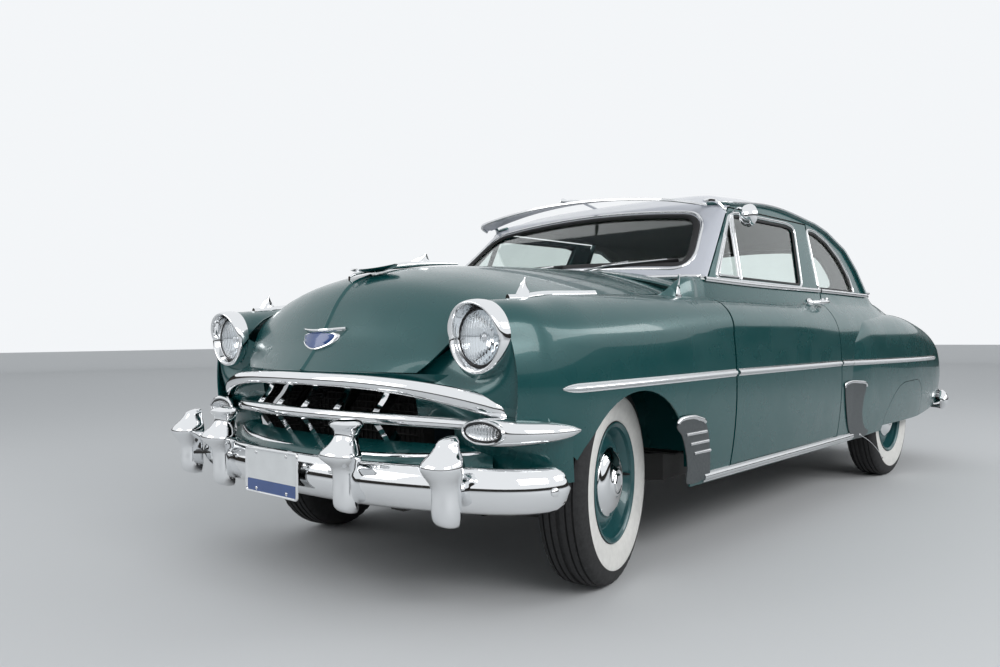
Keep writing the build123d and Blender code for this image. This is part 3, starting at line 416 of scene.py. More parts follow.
# Points along a smooth curve through the given points (Catmull-Rom, chord spaced).
def through(points, count):
    pts = [Vector(p) for p in points]
    ends = [pts[0] * 2 - pts[1]] + pts + [pts[-1] * 2 - pts[-2]]
    lengths = [max((b - a).length, 1e-6) for a, b in zip(pts, pts[1:])]
    total, out, place, seg = sum(lengths), [], 0.0, 0
    for k in range(count):
        want = total * k / (count - 1)
        while seg < len(lengths) - 1 and place + lengths[seg] < want - 1e-9:
            place += lengths[seg]
            seg += 1
        t = min(max((want - place) / lengths[seg], 0), 1)
        a, b, c, d = ends[seg:seg + 4]
        tangentB = (c - a) * (lengths[seg] / ((b - a).length + (c - b).length))
        tangentC = (d - b) * (lengths[seg] / ((c - b).length + (d - c).length))
        out.append(hermite(b, c, tangentB, tangentC, t))
    return out


# Points on the circle arc from a through b to c.
def arcPoints(a, b, c, count):
    a, b, c = Vector(a), Vector(b), Vector(c)
    u, v = b - a, c - a
    n = u.cross(v)
    if n.length < 1e-9:
        return [a.lerp(c, k / (count - 1)) for k in range(count)]
    centre = a + (n.cross(u) * v.length_squared + v.cross(n) * u.length_squared) / (2 * n.length_squared)
    axis, r = n.normalized(), a - centre
    full = r.angle(c - centre)
    if axis.dot(r.cross(c - centre)) < 0:
        full = 2 * pi - full
    return [centre + Matrix.Rotation(full * k / (count - 1), 3, axis) @ r for k in range(count)]


# A table's row at station x, smoothly between the rows given.
def atStation(rows, x):
    rows = sorted(rows)
    xs = [r[0] for r in rows]
    x = min(max(x, xs[0]), xs[-1])
    k = max(i for i in range(len(xs) - 1) if xs[i] <= x + 1e-9)
    h = xs[k + 1] - xs[k]
    t = (x - xs[k]) / h
    out = [x]
    for col in range(1, len(rows[0])):
        v = [r[col] for r in rows]
        slopes = [(v[i + 1] - v[i]) / (xs[i + 1] - xs[i]) for i in range(len(v) - 1)]
        def tangent(i):
            if i == 0 or i == len(v) - 1:
                return slopes[min(i, len(slopes) - 1)]
            a, b = slopes[i - 1], slopes[i]
            return 0 if a * b <= 0 else 2 * a * b / (a + b)
        out.append(hermite(v[k], v[k + 1], h * tangent(k), h * tangent(k + 1), t))
    return out


# A cutter: an outline drawn across X or Y, run along that axis.
def prism(points, axis, low, high):
    place = (lambda a, b, c: (c, a, b)) if axis == "X" else (lambda a, b, c: (a, c, b))
    n = len(points)
    verts = [place(a, b, low) for a, b in points] + [place(a, b, high) for a, b in points]
    faces = [tuple(range(n)), tuple(range(n, 2 * n))] + wallFaces(n)
    mesh = bpy.data.meshes.new("cutter")
    mesh.from_pydata(verts, [], faces)
    bm = bmesh.new()
    bm.from_mesh(mesh)
    bmesh.ops.recalc_face_normals(bm, faces=bm.faces)
    bm.to_mesh(mesh)
    bm.free()
    cutter = bpy.data.objects.new("cutter", mesh)
    bpy.context.collection.objects.link(cutter)
    return cutter


def cut(obj, cutters, keep=False, angle=32, solver="EXACT"):
    for cutter in cutters:
        mod = obj.modifiers.new("cut", "BOOLEAN")
        mod.operation = "INTERSECT" if keep else "DIFFERENCE"
        mod.solver, mod.object = solver, cutter
    applied(obj, angle)
    for cutter in cutters:
        mesh = cutter.data
        bpy.data.objects.remove(cutter)
        bpy.data.meshes.remove(mesh)
    return obj


def mirrorCopy(obj, name, body):
    twin = obj.copy()
    twin.data = obj.data.copy()
    twin.name = name
    twin.data.transform(Matrix.Scale(-1, 4, (0, 1, 0)))
    twin.data.flip_normals()
    for key in [k for k in twin.keys() if k.startswith("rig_") and k != "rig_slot"]:
        del twin[key]
    twin.parent = None
    bpy.context.collection.objects.link(twin)
    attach(twin, body)
    return twin


# An outline with its corners rounded.
def rounded(points, radius, steps=4):
    out = []
    n = len(points)
    for k in range(n):
        p, a, b = Vector(points[k]), Vector(points[k - 1]), Vector(points[(k + 1) % n])
        reach = min(radius, (a - p).length * 0.45, (b - p).length * 0.45)
        start, end = p + (a - p).normalized() * reach, p + (b - p).normalized() * reach
        for s in range(steps + 1):
            t = s / steps
            out.append(tuple(start * (1 - t)**2 + p * 2 * t * (1 - t) + end * t**2))
    return out


# A moulding: a profile of (across, out) points run along a path; outward gives the out direction.
def sweep(name, path, profile, outward, body, mat, angle=40, closed=False):
    loops = []
    n = len(path)
    for k, p in enumerate(path):
        before = path[(k - 1) % n if closed else max(k - 1, 0)]
        after = path[(k + 1) % n if closed else min(k + 1, n - 1)]
        along = (Vector(after) - Vector(before)).normalized()
        out = Vector(outward(p) if callable(outward) else outward)
        out = (out - along * out.dot(along)).normalized()
        side = along.cross(out)
        loops.append([Vector(p) + side * a + out * b for a, b in profile])
    if closed:
        loops.append(loops[0])
    return addLoft(name, loops, body, mat, angle, caps=not closed)


# A turned piece: (along, radius) points about an axis.
def lathe(name, profile, steps, place, axis, body, mat, angle=32):
    turn = Vector((1, 0, 0)).rotation_difference(Vector(axis).normalized()).to_matrix()
    verts = []
    for along, radius in profile:
        for k in range(steps):
            a = 2 * pi * k / steps
            verts.append(Vector(place) + turn @ Vector((along, radius * cos(a), radius * sin(a))))
    return addObject(name, verts, gridFaces(len(profile), steps, wrap=True), body, mat, angle)


# a box's outline of (across, out) points
def oblong(wide, tall):
    return [(-wide, -tall), (wide, -tall), (wide, tall), (-wide, tall)]


# a power that keeps the sign, for squarish ovals
def signed(value, power):
    return abs(value)**power * (1 if value > 0 else -1)


# the direction of a path at its point k
def alongAt(path, k):
    return (path[min(k + 1, len(path) - 1)] - path[max(k - 1, 0)]).normalized()


# a path turned round on the right side, so that its profile keeps its way up
def sided(path, side):
    return path if side > 0 else path[::-1]


# a path's left half with its mirror image ahead of it
def bothHalves(half):
    return [Vector((p.x, -p.y, p.z)) for p in half[:0:-1]] + half


halfRound = [(-0.5, 0), (-0.38, 0.55), (-0.15, 0.92), (0.15, 0.92), (0.38, 0.55), (0.5, 0)]


def scaledProfile(width, height, shape=halfRound):
    return [(a * width, b * height) for a, b in shape]


print("mesh tools ready")

# body sides
# each row: x, then y and z of the top edge, valley, shoulder, crease, side and sill
frontSide = [
    (2.185, .600, .870, .600, .868, .707, .962, .818, .852, .846, .700, .836, .600),
    (2.080, .640, .937, .640, .935, .745, .968, .868, .857, .892, .700, .876, .560),
    (1.890, .690, .985, .690, .983, .808, .968, .905, .857, .918, .680, .896, .430),
    (1.300, .752, 1.005, .752, 1.003, .850, .978, .924, .856, .933, .620, .893, .300),
    (0.982, .792, 1.008, .792, 1.002, .872, .976, .924, .856, .934, .620, .893, .300),
]
cabinSide = [
    (1.112, .782, 1.080, .782, 1.000, .868, .976, .924, .856, .934, .620, .893, .300),
    (0.982, .789, 1.075, .795, 1.000, .874, .974, .924, .856, .934, .620, .893, .300),
    (0.400, .792, 1.068, .806, 1.000, .878, .968, .923, .850, .933, .620, .893, .300),
    (-0.240, .792, 1.070, .824, 1.010, .874, .958, .918, .842, .926, .620, .890, .300),
    (-0.960, .790, 1.066, .808, 1.012, .846, .960, .892, .826, .902, .620, .876, .304),
    (-1.276, .655, 1.064, .740, 1.022, .800, .960, .858, .800, .880, .620, .862, .320),
    (-1.480, .575, 1.042, .680, 1.012, .770, .945, .836, .790, .862, .620, .846, .330),
    (-1.980, .555, .938, .630, .920, .700, .876, .770, .745, .796, .610, .780, .370),
    (-2.290, .520, .720, .560, .714, .616, .700, .668, .650, .690, .560, .676, .420),
]
fenderSwell = [
    (-0.330, .846, .866, .850, .860, .900, .830, .916, .780, .924, .600, .888, .305),
    (-0.640, .796, .960, .800, .955, .880, .925, .930, .830, .941, .600, .896, .308),
    (-1.276, .756, .972, .760, .968, .872, .935, .935, .820, .950, .600, .915, .330),
    (-1.900, .686, .934, .690, .930, .820, .890, .905, .770, .920, .600, .886, .365),
    (-2.180, .640, .880, .645, .876, .770, .845, .862, .735, .878, .605, .846, .405),
    (-2.290, .625, .800, .630, .795, .720, .790, .790, .715, .806, .610, .786, .450),
]
wheelX = (1.645, -1.276)
doorGap = 0.008
skin = .006            # a panel's sheet


def sectionLine(rows, x, grow=0.0, upper=14, lower=12):
    row = atStation(rows, x)
    top, valley, shoulder, crease, side, sill = (Vector((x, row[1 + 2 * k], row[2 + 2 * k]))
                                                 for k in range(6))
    line = [top, top.lerp(valley, 0.5)]
    line += arcPoints(valley, shoulder, crease, upper)
    line += arcPoints(crease, side, sill, lower)[1:]
    if grow:
        out = []
        for k, p in enumerate(line):
            along = line[min(k + 1, len(line) - 1)] - line[max(k - 1, 0)]
            out.append(p + Vector((0, -along.z, along.y)).normalized() * grow)
        line = out
    return line


def sideGrid(rows, x0, x1, step=0.022, **options):
    count = max(3, ceil(abs(x1 - x0) / step))
    return [sectionLine(rows, x0 + (x1 - x0) * k / (count - 1), **options) for k in range(count)]


def frontArch():
    x = wheelX[0]
    line = arcPoints((x - .362, 0, .24), (x - .318, 0, .43), (x - .228, 0, .562), 6)
    line += arcPoints((x - .228, 0, .562), (x + .01, 0, .672), (x + .25, 0, .562), 14)[1:]
    line += arcPoints((x + .25, 0, .562), (x + .345, 0, .44), (x + .372, 0, .24), 6)[1:]
    return [(p.x, p.z) for p in line]


def rearArch(inset=0.0):
    x = wheelX[1]
    line = [Vector((x - .262 + inset, 0, .25))]
    line += arcPoints((x - .262 + inset, 0, .40), (x - .205 + inset * .7, 0, .537 - inset),
                      (x - .09, 0, .575 - inset), 8)
    line += arcPoints((x + .13, 0, .571 - inset), (x + .30 - inset * .7, 0, .515 - inset),
                      (x + .42 - inset, 0, .40), 8)
    line += [Vector((x + .45 - inset, 0, .25))]
    return [(p.x, p.z) for p in line]


doorSide = [(.982, .346), (.982, 1.076), (.928, 1.076), (.556, 1.420), (-.318, 1.426), (-.244, 1.068),
            (-.170, 1.000), (-.170, .346)]
doorWindow = [(.842, 1.094), (.566, 1.380), (.500, 1.396), (-.060, 1.404), (-.144, 1.391), (-.040, 1.092)]
quarterWindow = [(-.270, 1.084), (-.330, 1.398), (-.430, 1.396), (-.570, 1.350), (-.690, 1.270),
                 (-.756, 1.180), (-.776, 1.082)]


# each side of a convex outline moved inwards
def insetOutline(points, distance):
    area = sum(a[0] * b[1] - b[0] * a[1] for a, b in zip(points, points[1:] + points[:1]))
    turn, moved = (1 if area > 0 else -1), []
    for before, here, after in zip(points[-1:] + points[:-1], points, points[1:] + points[:1]):
        normals = []
        for a, b in ((before, here), (here, after)):
            length = hypot(b[0] - a[0], b[1] - a[1])
            normals.append((-turn * (b[1] - a[1]) / length, turn * (b[0] - a[0]) / length))
        (ax, ay), (bx, by) = normals
        share = distance / (1 + ax * bx + ay * by)
        moved.append((here[0] + share * (ax + bx), here[1] + share * (ay + by)))
    return moved


# the opening round a door, wider behind its window so that the swinging corner clears the pillar
def doorway():
    return [(x - (.006 if x < -.2 else 0), z) for x, z in insetOutline(doorSide, -doorGap)]


fender = dict(front=2.185, rear=.993)
headlight = dict(x=2.185, y=.707, z=.851, opening=.111)


def frontFender():
    obj = addSheet("leftFrontFender", sideGrid(frontSide, fender["front"], fender["rear"]), (0, 1, 0),
                   skin, "body", "tealPaint")
    cut(obj, [prism(frontArch(), "Y", .5, 1.0)])
    # the front face runs from the lamp's lower half down to the grille moulding and round to the side
    ring = [Vector((2.186, headlight["y"] - headlight["opening"] * cos(a),
                    headlight["z"] - headlight["opening"] * sin(a)))
            for a in (pi * k / 20 for k in range(21))]
    outer = through([(2.185, .818, .852), (2.175, .838, .78), (2.140, .866, .70), (2.085, .886, .60)], 13)
    inner = through([(2.185, .596, .851), (2.158, .548, .82), (2.178, .500, .785), (2.206, .450, .745),
                     (2.214, .440, .69), (2.200, .440, .60)], 13)
    low = through([(2.200, .440, .60), (2.190, .62, .60), (2.164, .76, .60), (2.130, .84, .60),
                   (2.085, .886, .60)], 21)
    rows = []
    for i in range(13):
        v = i / 12
        row = []
        for k in range(21):
            u = k / 20
            p = ring[k] * (1 - v) + low[k] * v + inner[i] * (1 - u) + outer[i] * u
            p -= (ring[0] * (1 - u) + ring[20] * u) * (1 - v) + (low[0] * (1 - u) + low[20] * u) * v
            p.x += .012 * sin(pi * u) * sin(pi * v)
            row.append(p)
        rows.append(row)
    face = addSheet("leftFenderFace", rows, (1, 0, 0), skin, "body", "tealPaint")
    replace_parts(obj, "front_fenders")
    mirrorCopy(obj, "rightFrontFender", "body")
    mirrorCopy(face, "rightFenderFace", "body")


def doorsAndQuarters():
    # a thin outer sheet out to the door's edge, and a box behind it that stands back from the edge
    for name, thick, back, edge in (("DoorPanel", skin, 0, doorSide),
                                    ("DoorCase", .048, -.004, insetOutline(doorSide, .024))):
        panel = addSheet("left" + name, sideGrid(cabinSide, .982, -.244, grow=back), (0, 1, 0), thick,
                         "door_left", "tealPaint")
        below = [(-.3, .2), (1.0, .2), (1.0, 1.074), (-.3, 1.074)]
        cut(panel, [prism(edge, "Y", .5, 1.0), prism(below, "Y", .5, 1.0)], keep=True)
        # the case has a slot for each hinge
        for foot in (.47, .78) if back else ():
            slot = [(.872, foot - .020), (1.0, foot - .020), (1.0, foot + .020), (.872, foot + .020)]
            cut(panel, [prism(slot, "Y", .78, .95)])
        twin = mirrorCopy(panel, "right" + name, "door_right")
        if name == "DoorPanel":
            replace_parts(panel, "left_door")
            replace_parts(twin, "right_door")
    quarter = addSheet("leftQuarter", sideGrid(cabinSide, -.10, -2.29), (0, 1, 0), .02, "body", "tealPaint")
    cut(quarter, [prism(doorway(), "Y", 0, 1.0), prism(rearArch(), "Y", .5, 1.0),
                  prism([(-.178, .2), (.2, .2), (.2, 1.2), (-.178, 1.2)], "Y", 0, 1.0)])
    wheelRoom = [(wheelX[1] + a, .35 + b) for a, b in circle(.378, 48)]
    cut(quarter, [prism(wheelRoom, "Y", .6, .843)])
    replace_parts(quarter, "quarter_panels")
    mirrorCopy(quarter, "rightQuarter", "body")
    swell = addSheet("leftRearFender", sideGrid(fenderSwell, -.330, -2.290), (0, 1, 0), skin, "body",
                     "tealPaint")
    cut(swell, [prism(rearArch(), "Y", .5, 1.0)])
    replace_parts(swell, "rear_fenders")
    mirrorCopy(swell, "rightRearFender", "body")
    skirt = addSheet("leftSkirt", sideGrid(fenderSwell, -.7, -1.7), (0, 1, 0), .014, "body", "tealPaint")
    bottom = [(-1.8, .341), (-.6, .341), (-.6, 1.0), (-1.8, 1.0)]
    cut(skirt, [prism(rearArch(.003), "Y", .5, 1.0), prism(bottom, "Y", .5, 1.0)], keep=True)
    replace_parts(skirt, "fender_skirts")
    mirrorCopy(skirt, "rightSkirt", "body")


frontFender()
doorsAndQuarters()
print("body sides done")

# hood and lid
# each row: crown x, z, then edge x, y, z
hoodRows = [
    (1.120, 1.152, 1.120, .758, 1.012), (1.300, 1.149, 1.300, .737, 1.008), (1.600, 1.139, 1.590, .705, .999),
    (1.890, 1.114, 1.870, .674, .985), (2.030, 1.084, 2.000, .645, .962), (2.120, 1.046, 2.080, .618, .930),
    (2.180, .985, 2.130, .592, .893), (2.225, .910, 2.165, .568, .851), (2.262, .842, 2.200, .540, .806),
    (2.300, .790, 2.226, .512, .770), (2.336, .744, 2.245, .480, .742),
]
deckRows = [(-1.486, 1.066, -1.486, .560, 1.042), (-1.650, 1.046, -1.650, .553, 1.012),
            (-1.980, .966, -1.980, .540, .940), (-2.120, .905, -2.110, .525, .876),
            (-2.220, .830, -2.200, .514, .800), (-2.288, .738, -2.270, .500, .722)]


# a lid's sheet, with an arc across it from edge to edge over its crown
def crownSheet(name, rows, steps, body, across=41):
    crowns = through([(r[0], 0, r[1]) for r in rows], steps)
    edges = through([(r[2], r[3], r[4]) for r in rows], steps)
    grid = [arcPoints((e.x, e.y, e.z), c, (e.x, -e.y, e.z), across) for c, e in zip(crowns, edges)]
    return addSheet(name, grid, (0, 0, 1), skin, body, "tealPaint")


# a bent arm from a lid's hinge pin, dipping under the fixed panel and up to the lid
def lidArm(name, x, z, forward, y, rise, body):
    line = [(-.008, -.007), (.034, -.054), (.104, -.054), (.104, rise), (.086, rise), (.086, -.038),
            (.041, -.038), (.009, -.004)]
    arm = prism([(x + forward * a, z + b) for a, b in line], "Y", y - .008, y + .008)
    arm.name = name
    dress(arm, body, "frameBlack")
    eye = [(-.009, .0055), (-.009, .011), (.009, .011), (.009, .0055), (-.009, .0055)]
    lathe(name + "Eye", eye, 28, (x, y, z), (0, 1, 0), body, "frameBlack")


hood = crownSheet("hoodPanel", hoodRows, 56, "hood_lid")
deck = crownSheet("deckPanel", deckRows, 40, "boot_lid")
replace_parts(hood, "hood")
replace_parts(deck, "deck_lid")
for side, word in sides:
    lidArm(word + "HoodArm", 1.083, 1.118, 1, side * .100, .022, "hood_lid")
    lidArm(word + "DeckArm", -1.449, 1.032, -1, side * .150, .016, "boot_lid")
print("hood and deck lid done")

# roof and pillars
# each row: height, then front middle x, front corner x and y, side front x, side rear x, rear corner x and y,
# rear middle x
houseRows = [
    (1.062, 1.104, 1.009, .736, .992, -.960, -1.330, .620, -1.440),
    (1.208, .929, .852, .684, .838, -.897, -1.195, .589, -1.305),
    (1.319, .795, .731, .647, .712, -.800, -1.092, .566, -1.202),
    (1.411, .685, .634, .614, .612, -.577, -1.007, .546, -1.117),
    (1.440, .650, .602, .603, .578, -.430, -.980, .540, -1.090),
]
sideLean = 0.267          # how far the side glass leans in for each metre up
sideFoot = (.785, 1.075)
# the roof above the drip rails: share of the rail's outline and the height above it
roofLevels = [(.985, .011), (.955, .021), (.90, .035), (.82, .055), (.70, .083), (.55, .115), (.38, .139),
              (.20, .154), (.07, .1595)]
roofMiddle = -.20
roof = dict(foot=1.062, eaves=1.440, rise=.378, levels=15, even=1.47, peak=1.5985, thick=.030)
railFrom, railTo = 22, 47          # the points of a half loop that lie under the drip rail


def houseRow(z):
    low = max((r for r in houseRows if r[0] <= z + 1e-9), default=houseRows[0])
    high = min((r for r in houseRows if r[0] >= z - 1e-9), default=houseRows[-1])
    t = (z - low[0]) / (high[0] - low[0]) if high[0] > low[0] else 0
    return [a + (b - a) * t for a, b in zip(low, high)]


def sideY(z):
    return sideFoot[0] - (z - sideFoot[1]) * sideLean


# x on the windshield's and the rear window's surface for a place across and a height
def frontX(y, z):
    row = houseRow(z)
    return row[1] - (row[1] - row[2]) * (y / row[3])**2


def rearX(y, z):
    row = houseRow(z)
    return row[8] + (row[6] - row[8]) * (y / row[7])**2


# points along a smooth curve with a set number of steps for each part of it
def inParts(points, counts):
    pts = [Vector(p) for p in points]
    ends = [pts[0] * 2 - pts[1]] + pts + [pts[-1] * 2 - pts[-2]]
    out = [pts[0]]
    for k, count in enumerate(counts):
        a, b, c, d = ends[k:k + 4]
        step = (c - b).length
        tangentB = (c - a) * (step / ((b - a).length + step))
        tangentC = (d - b) * (step / (step + (d - c).length))
        for s in range(1, count + 1):
            t = s / count
            out.append(hermite(b, c, tangentB, tangentC, t))
    return out


def eavesLift(x):
    t = (x + .43) / 1.0
    return .036 * max(0, sin(pi * min(max(t, 0), 1)))**1.2


def halfLoop(z):
    row = houseRow(z)
    y = sideY(z)
    bow = [(row[1] - (row[1] - row[2]) * s * s, row[3] * s, z) for s in (.35, .7, .92)]
    corner = [(row[2], row[3], z), (row[4] - .012, y - .010, z), (row[4] - .05, y, z)]
    front = inParts([(row[1], 0, z)] + bow + corner, [4, 5, 4, 3, 4, 2])
    side = [Vector((row[4] - .05 + (row[5] - row[4] + .05) * k / 24, y, z)) for k in range(1, 25)]
    bend = Vector((row[5] * .45 + row[6] * .55 - .02, y * .60 + row[7] * .40 + .018, z))
    back = inParts([side[-1], bend, (row[6], row[7], z), (row[8] - .25 * (row[8] - row[6]), row[7] / 2, z),
                    (row[8], 0, z)], [7, 6, 5, 5])
    return front + side + back[1:]


def houseLoops():
    last = roof["levels"] - 1
    levels = [roof["foot"] + (roof["eaves"] - roof["foot"]) * k / last for k in range(roof["levels"])]
    loops = [halfLoop(z) for z in levels]
    top = loops[-1]
    for loop in loops[:-1]:
        for k, p in enumerate(loop):
            share = (p.z - roof["foot"]) / roof["rise"]
            if railFrom < k < railTo:
                p.z += eavesLift(top[k].x) * share
                p.y = sideY(p.z)
    eaves = [p.copy() for p in top]
    for k, p in enumerate(eaves):
        if railFrom <= k < railTo:
            p.z += eavesLift(p.x)
            p.y = sideY(p.z)
    loops[-1] = eaves
    for share, rise in roofLevels:
        loops.append([Vector((roofMiddle + (p.x - roofMiddle) * share, p.y * share,
                              roof["eaves"] + (p.z - roof["eaves"]) * share**3 + rise)) for p in eaves])
    return loops


def roofShell():
    loops = houseLoops()
    around = [loop + [Vector((p.x, -p.y, p.z)) for p in loop[-2:0:-1]] for loop in loops]
    cols, rows = len(around[0]), len(around)
    verts = [p for loop in around for p in loop] + [Vector((roofMiddle, 0, 1.6005))]
    faces = gridFaces(rows, cols, wrap=True)
    teal = [i for i in range(len(faces)) if i // cols < roof["levels"] - 1
            and any(railFrom <= k < railTo - 1 for k in (i % cols, cols - 1 - i % cols))]
    faces += [((rows - 1) * cols + k, (rows - 1) * cols + (k + 1) % cols, len(verts) - 1)
              for k in range(cols)]
    mesh = bpy.data.meshes.new("roofShell")
    mesh.from_pydata([tuple(v) for v in verts], [], faces)
    for polygon in mesh.polygons:
        polygon.material_index = 1
    for i in teal:
        mesh.polygons[i].material_index = 0
    if mesh.polygons[len(faces) - 1].normal.z < 0:
        mesh.flip_normals()
    # the crown is evened out above the drip rails, and raised again to its height
    bm = bmesh.new()
    bm.from_mesh(mesh)
    bm.verts.ensure_lookup_table()
    crown = [v for v in bm.verts if v.index >= 18 * cols]
    for _ in range(30):
        bmesh.ops.smooth_vert(bm, verts=crown, factor=.5, use_axis_z=True)
    peak = max(v.co.z for v in crown)
    for v in crown:
        share = min(1, max(0, (v.co.z - roof["even"]) / (peak - roof["even"])))
        v.co.z += (roof["peak"] - peak) * share * share * (3 - 2 * share)
    bm.to_mesh(mesh)
    bm.free()
    obj = bpy.data.objects.new("roofShell", mesh)
    bpy.context.collection.objects.link(obj)
    kept = [p.material_index for p in mesh.polygons]
    dress(obj, "body", ("tealPaint", "palePaint", "headliner"), 40)
    mesh.polygons.foreach_set("material_index", kept)
    shell = obj.modifiers.new("thick", "SOLIDIFY")
    shell.thickness, shell.offset = roof["thick"], -1
    return applied(obj, 40)


def rounding(outline, radius):
    return [tuple(p)[:2] for p in rounded([(a, b, 0) for a, b in outline], radius, 6)]


def windshieldOutline():
    bottom = [(y, 1.160 - .026 * (y / .706)**2) for y in (-.706, -.45, -.2, 0, .2, .45, .706)]
    top = [(y, 1.430 - .040 * (y / .616)**2) for y in (.616, .4, .2, 0, -.2, -.4, -.616)]
    return rounding(bottom + top, .085)


def rearOutline():
    bottom = [(y, 1.116 + .008 * (y / .52)**2) for y in (-.52, -.3, 0, .3, .52)]
    top = [(y, 1.402 - .040 * (y / .47)**2) for y in (.47, .25, 0, -.25, -.47)]
    return rounding(bottom + top, .10)


frontWindow = rounding(doorWindow, .030)
sideWindow = rounding(quarterWindow, .030)


def roofAndDoors():
    shell = roofShell()
    addDoorFrames()
    cut(shell, [prism(windshieldOutline(), "X", .45, 1.2), prism(rearOutline(), "X", -1.6, -.85)], angle=40,
        solver="MANIFOLD")
    cut(shell, [prism(doorway(), "Y", .56, 1.0), prism(doorway(), "Y", -1.0, -.56),
                prism(sideWindow, "Y", .4, .95), prism(sideWindow, "Y", -.95, -.4)], angle=40,
        solver="MANIFOLD")
    feet = ([(-.178, 1.0), (1.3, 1.0), (1.3, 1.083), (-.178, 1.083)],
            [(-1.6, 1.0), (-.170, 1.0), (-.170, 1.0705), (-1.6, 1.0705)])
    cut(shell, [prism(foot, "Y", -1, 1) for foot in feet], angle=40, solver="MANIFOLD")
    middle = Vector((roofMiddle, 0, 1.15))
    for polygon in shell.data.polygons:
        away = polygon.center - middle
        if polygon.normal.dot(away) < 0 and abs(polygon.normal.normalized().dot(away.normalized())) > .25:
            polygon.material_index = 2
    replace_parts(shell, "roof")


def addDoorFrames():
    grid = []
    for i in range(15):
        z = 1.070 + (1.432 - 1.070) * i / 14
        corner = houseRow(min(z, roof["eaves"]))[4] - .05
        grid.append([Vector((x, sideY(z) if x < corner else sideY(z) - .002, z))
                     for x in (.99 - 1.32 * k / 60 for k in range(61))])
    for name, thick, back, edge in (("DoorFrame", skin, 0, doorSide),
                                    ("DoorFrameBack", .024, .004, insetOutline(doorSide, .022))):
        rows = [[p - Vector((0, back, 0)) for p in row] for row in grid]
        frameSheet = addSheet("left" + name, rows, (0, 1, 0), thick, "door_left", "tealPaint")
        cut(frameSheet, [prism(edge, "Y", .5, 1.0)], keep=True)
        cut(frameSheet, [prism(frontWindow, "Y", .4, 1.0)])
        mirrorCopy(frameSheet, "right" + name, "door_right")


roofAndDoors()
print("roof and door frames done")

# window glass, channels and bright reveals
glazing = dict(depth=.011, thick=.0045)


def paneFrom(name, outline, place, body):
    outer = [Vector(place(a, b, 0)) for a, b in outline]
    inner = [Vector(place(a, b, 1)) for a, b in outline]
    n = len(outer)
    faces = [tuple(range(n)), tuple(range(n, 2 * n))[::-1]] + wallFaces(n)
    return addObject(name, outer + inner, faces, body, "windowGlass", 30)


def curvedPane(name, surface, outline, direction):
    lowZ, highZ = min(z for y, z in outline) - .01, max(z for y, z in outline) + .008
    wide = max(y for y, z in outline) + .01
    grid = []
    for i in range(15):
        z = lowZ + (highZ - lowZ) * i / 14
        grid.append([Vector((surface(y, min(z, roof["eaves"])) - direction * glazing["depth"], y, z))
                     for y in (-wide + 2 * wide * k / 40 for k in range(41))])
    pane = addSheet(name, grid, (direction, 0, 0), glazing["thick"], "body", "windowGlass")
    ends = (.4, 1.3) if direction > 0 else (-1.6, -.8)
    return cut(pane, [prism(outline, "X", *ends)], keep=True)


def denser(outline, spacing=.03):
    out = []
    for a, b in zip(outline, outline[1:] + outline[:1]):
        gap = hypot(b[0] - a[0], b[1] - a[1])
        steps = max(1, int(gap / spacing))
        out += [(a[0] + (b[0] - a[0]) * k / steps, a[1] + (b[1] - a[1]) * k / steps) for k in range(steps)]
    return out


def loopOn(name, outline, place, width, height, outward, body, mat, lift=0.0):
    path = [Vector(place(a, b)) for a, b in denser(outline)]
    normal = Vector(outward).normalized()
    path = [p + normal * lift for p in path]
    return sweep(name, path, scaledProfile(width, height), outward, body, mat, 50, closed=True)


def addGlass():
    panes = [curvedPane("windshield", frontX, insetOutline(windshieldOutline(), .0005), 1),
             curvedPane("rearWindow", rearX, insetOutline(rearOutline(), .0005), -1)]
    def onFront(y, z):
        return (frontX(y, min(z, roof["eaves"])), y, z)
    def onRear(y, z):
        return (rearX(y, min(z, roof["eaves"])), y, z)
    for word, outline, place, outward in (("windshield", windshieldOutline(), onFront, (.65, 0, .76)),
                                          ("rear", rearOutline(), onRear, (-.7, 0, .7))):
        loopOn(word + "Gasket", insetOutline(outline, .010), place, .030, .007, outward, "body", "darkRubber",
               -.001)
        loopOn(word + "Reveal", insetOutline(outline, -.010), place, .017, .008, outward, "body", "stainless",
               -.001)
    for side, word in sides:
        def onSide(x, z, k=0):
            return (x, side * (sideY(z) - glazing["depth"] - k * glazing["thick"]), z)
        def surface(x, z):
            return (x, side * sideY(z), z)
        outward = (0, side * .966, .258)
        door = "door_" + word
        panes.append(paneFrom(word + "QuarterGlass", insetOutline(sideWindow, .0005), onSide, "body"))
        doorPane = paneFrom(word + "DoorPane", insetOutline(frontWindow, .0005), onSide, door)
        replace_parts(doorPane, word + "_door_glass")
        # rubber channels and the bright reveal round each side opening
        for key, outline, body in (("Quarter", sideWindow, "body"), ("Door", frontWindow, door)):
            loopOn(word + key + "Channel", insetOutline(outline, .006), surface, .014, .005, outward, body,
                   "darkRubber", -.006)
            loopOn(word + key + "Reveal", insetOutline(outline, -.009), surface, .016, .007, outward, body,
                   "stainless", -.001)
        # the vent glass and its divider
        foot, top = Vector((.627, side * sideY(1.092), 1.092)), Vector((.552, side * sideY(1.386), 1.386))
        path = [foot.lerp(top, k / 12) for k in range(13)]
        sweep(word + "Divider", path, scaledProfile(.017, .010), outward, door, "stainless", 50)
        sweep(word + "DividerRubber", [p - Vector(outward) * .004 for p in path], scaledProfile(.030, .005),
              outward, door, "darkRubber", 50)
        vent = [(foot.x + .012, 1.102), (.818, 1.104), (.584, 1.368), (top.x + .018, 1.380)]
        loopOn(word + "VentFrame", rounding(vent, .02), surface, .010, .007, outward, door, "stainless",
               -.003)
    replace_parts(panes[0], "window_glass")


addGlass()
print("glass done")

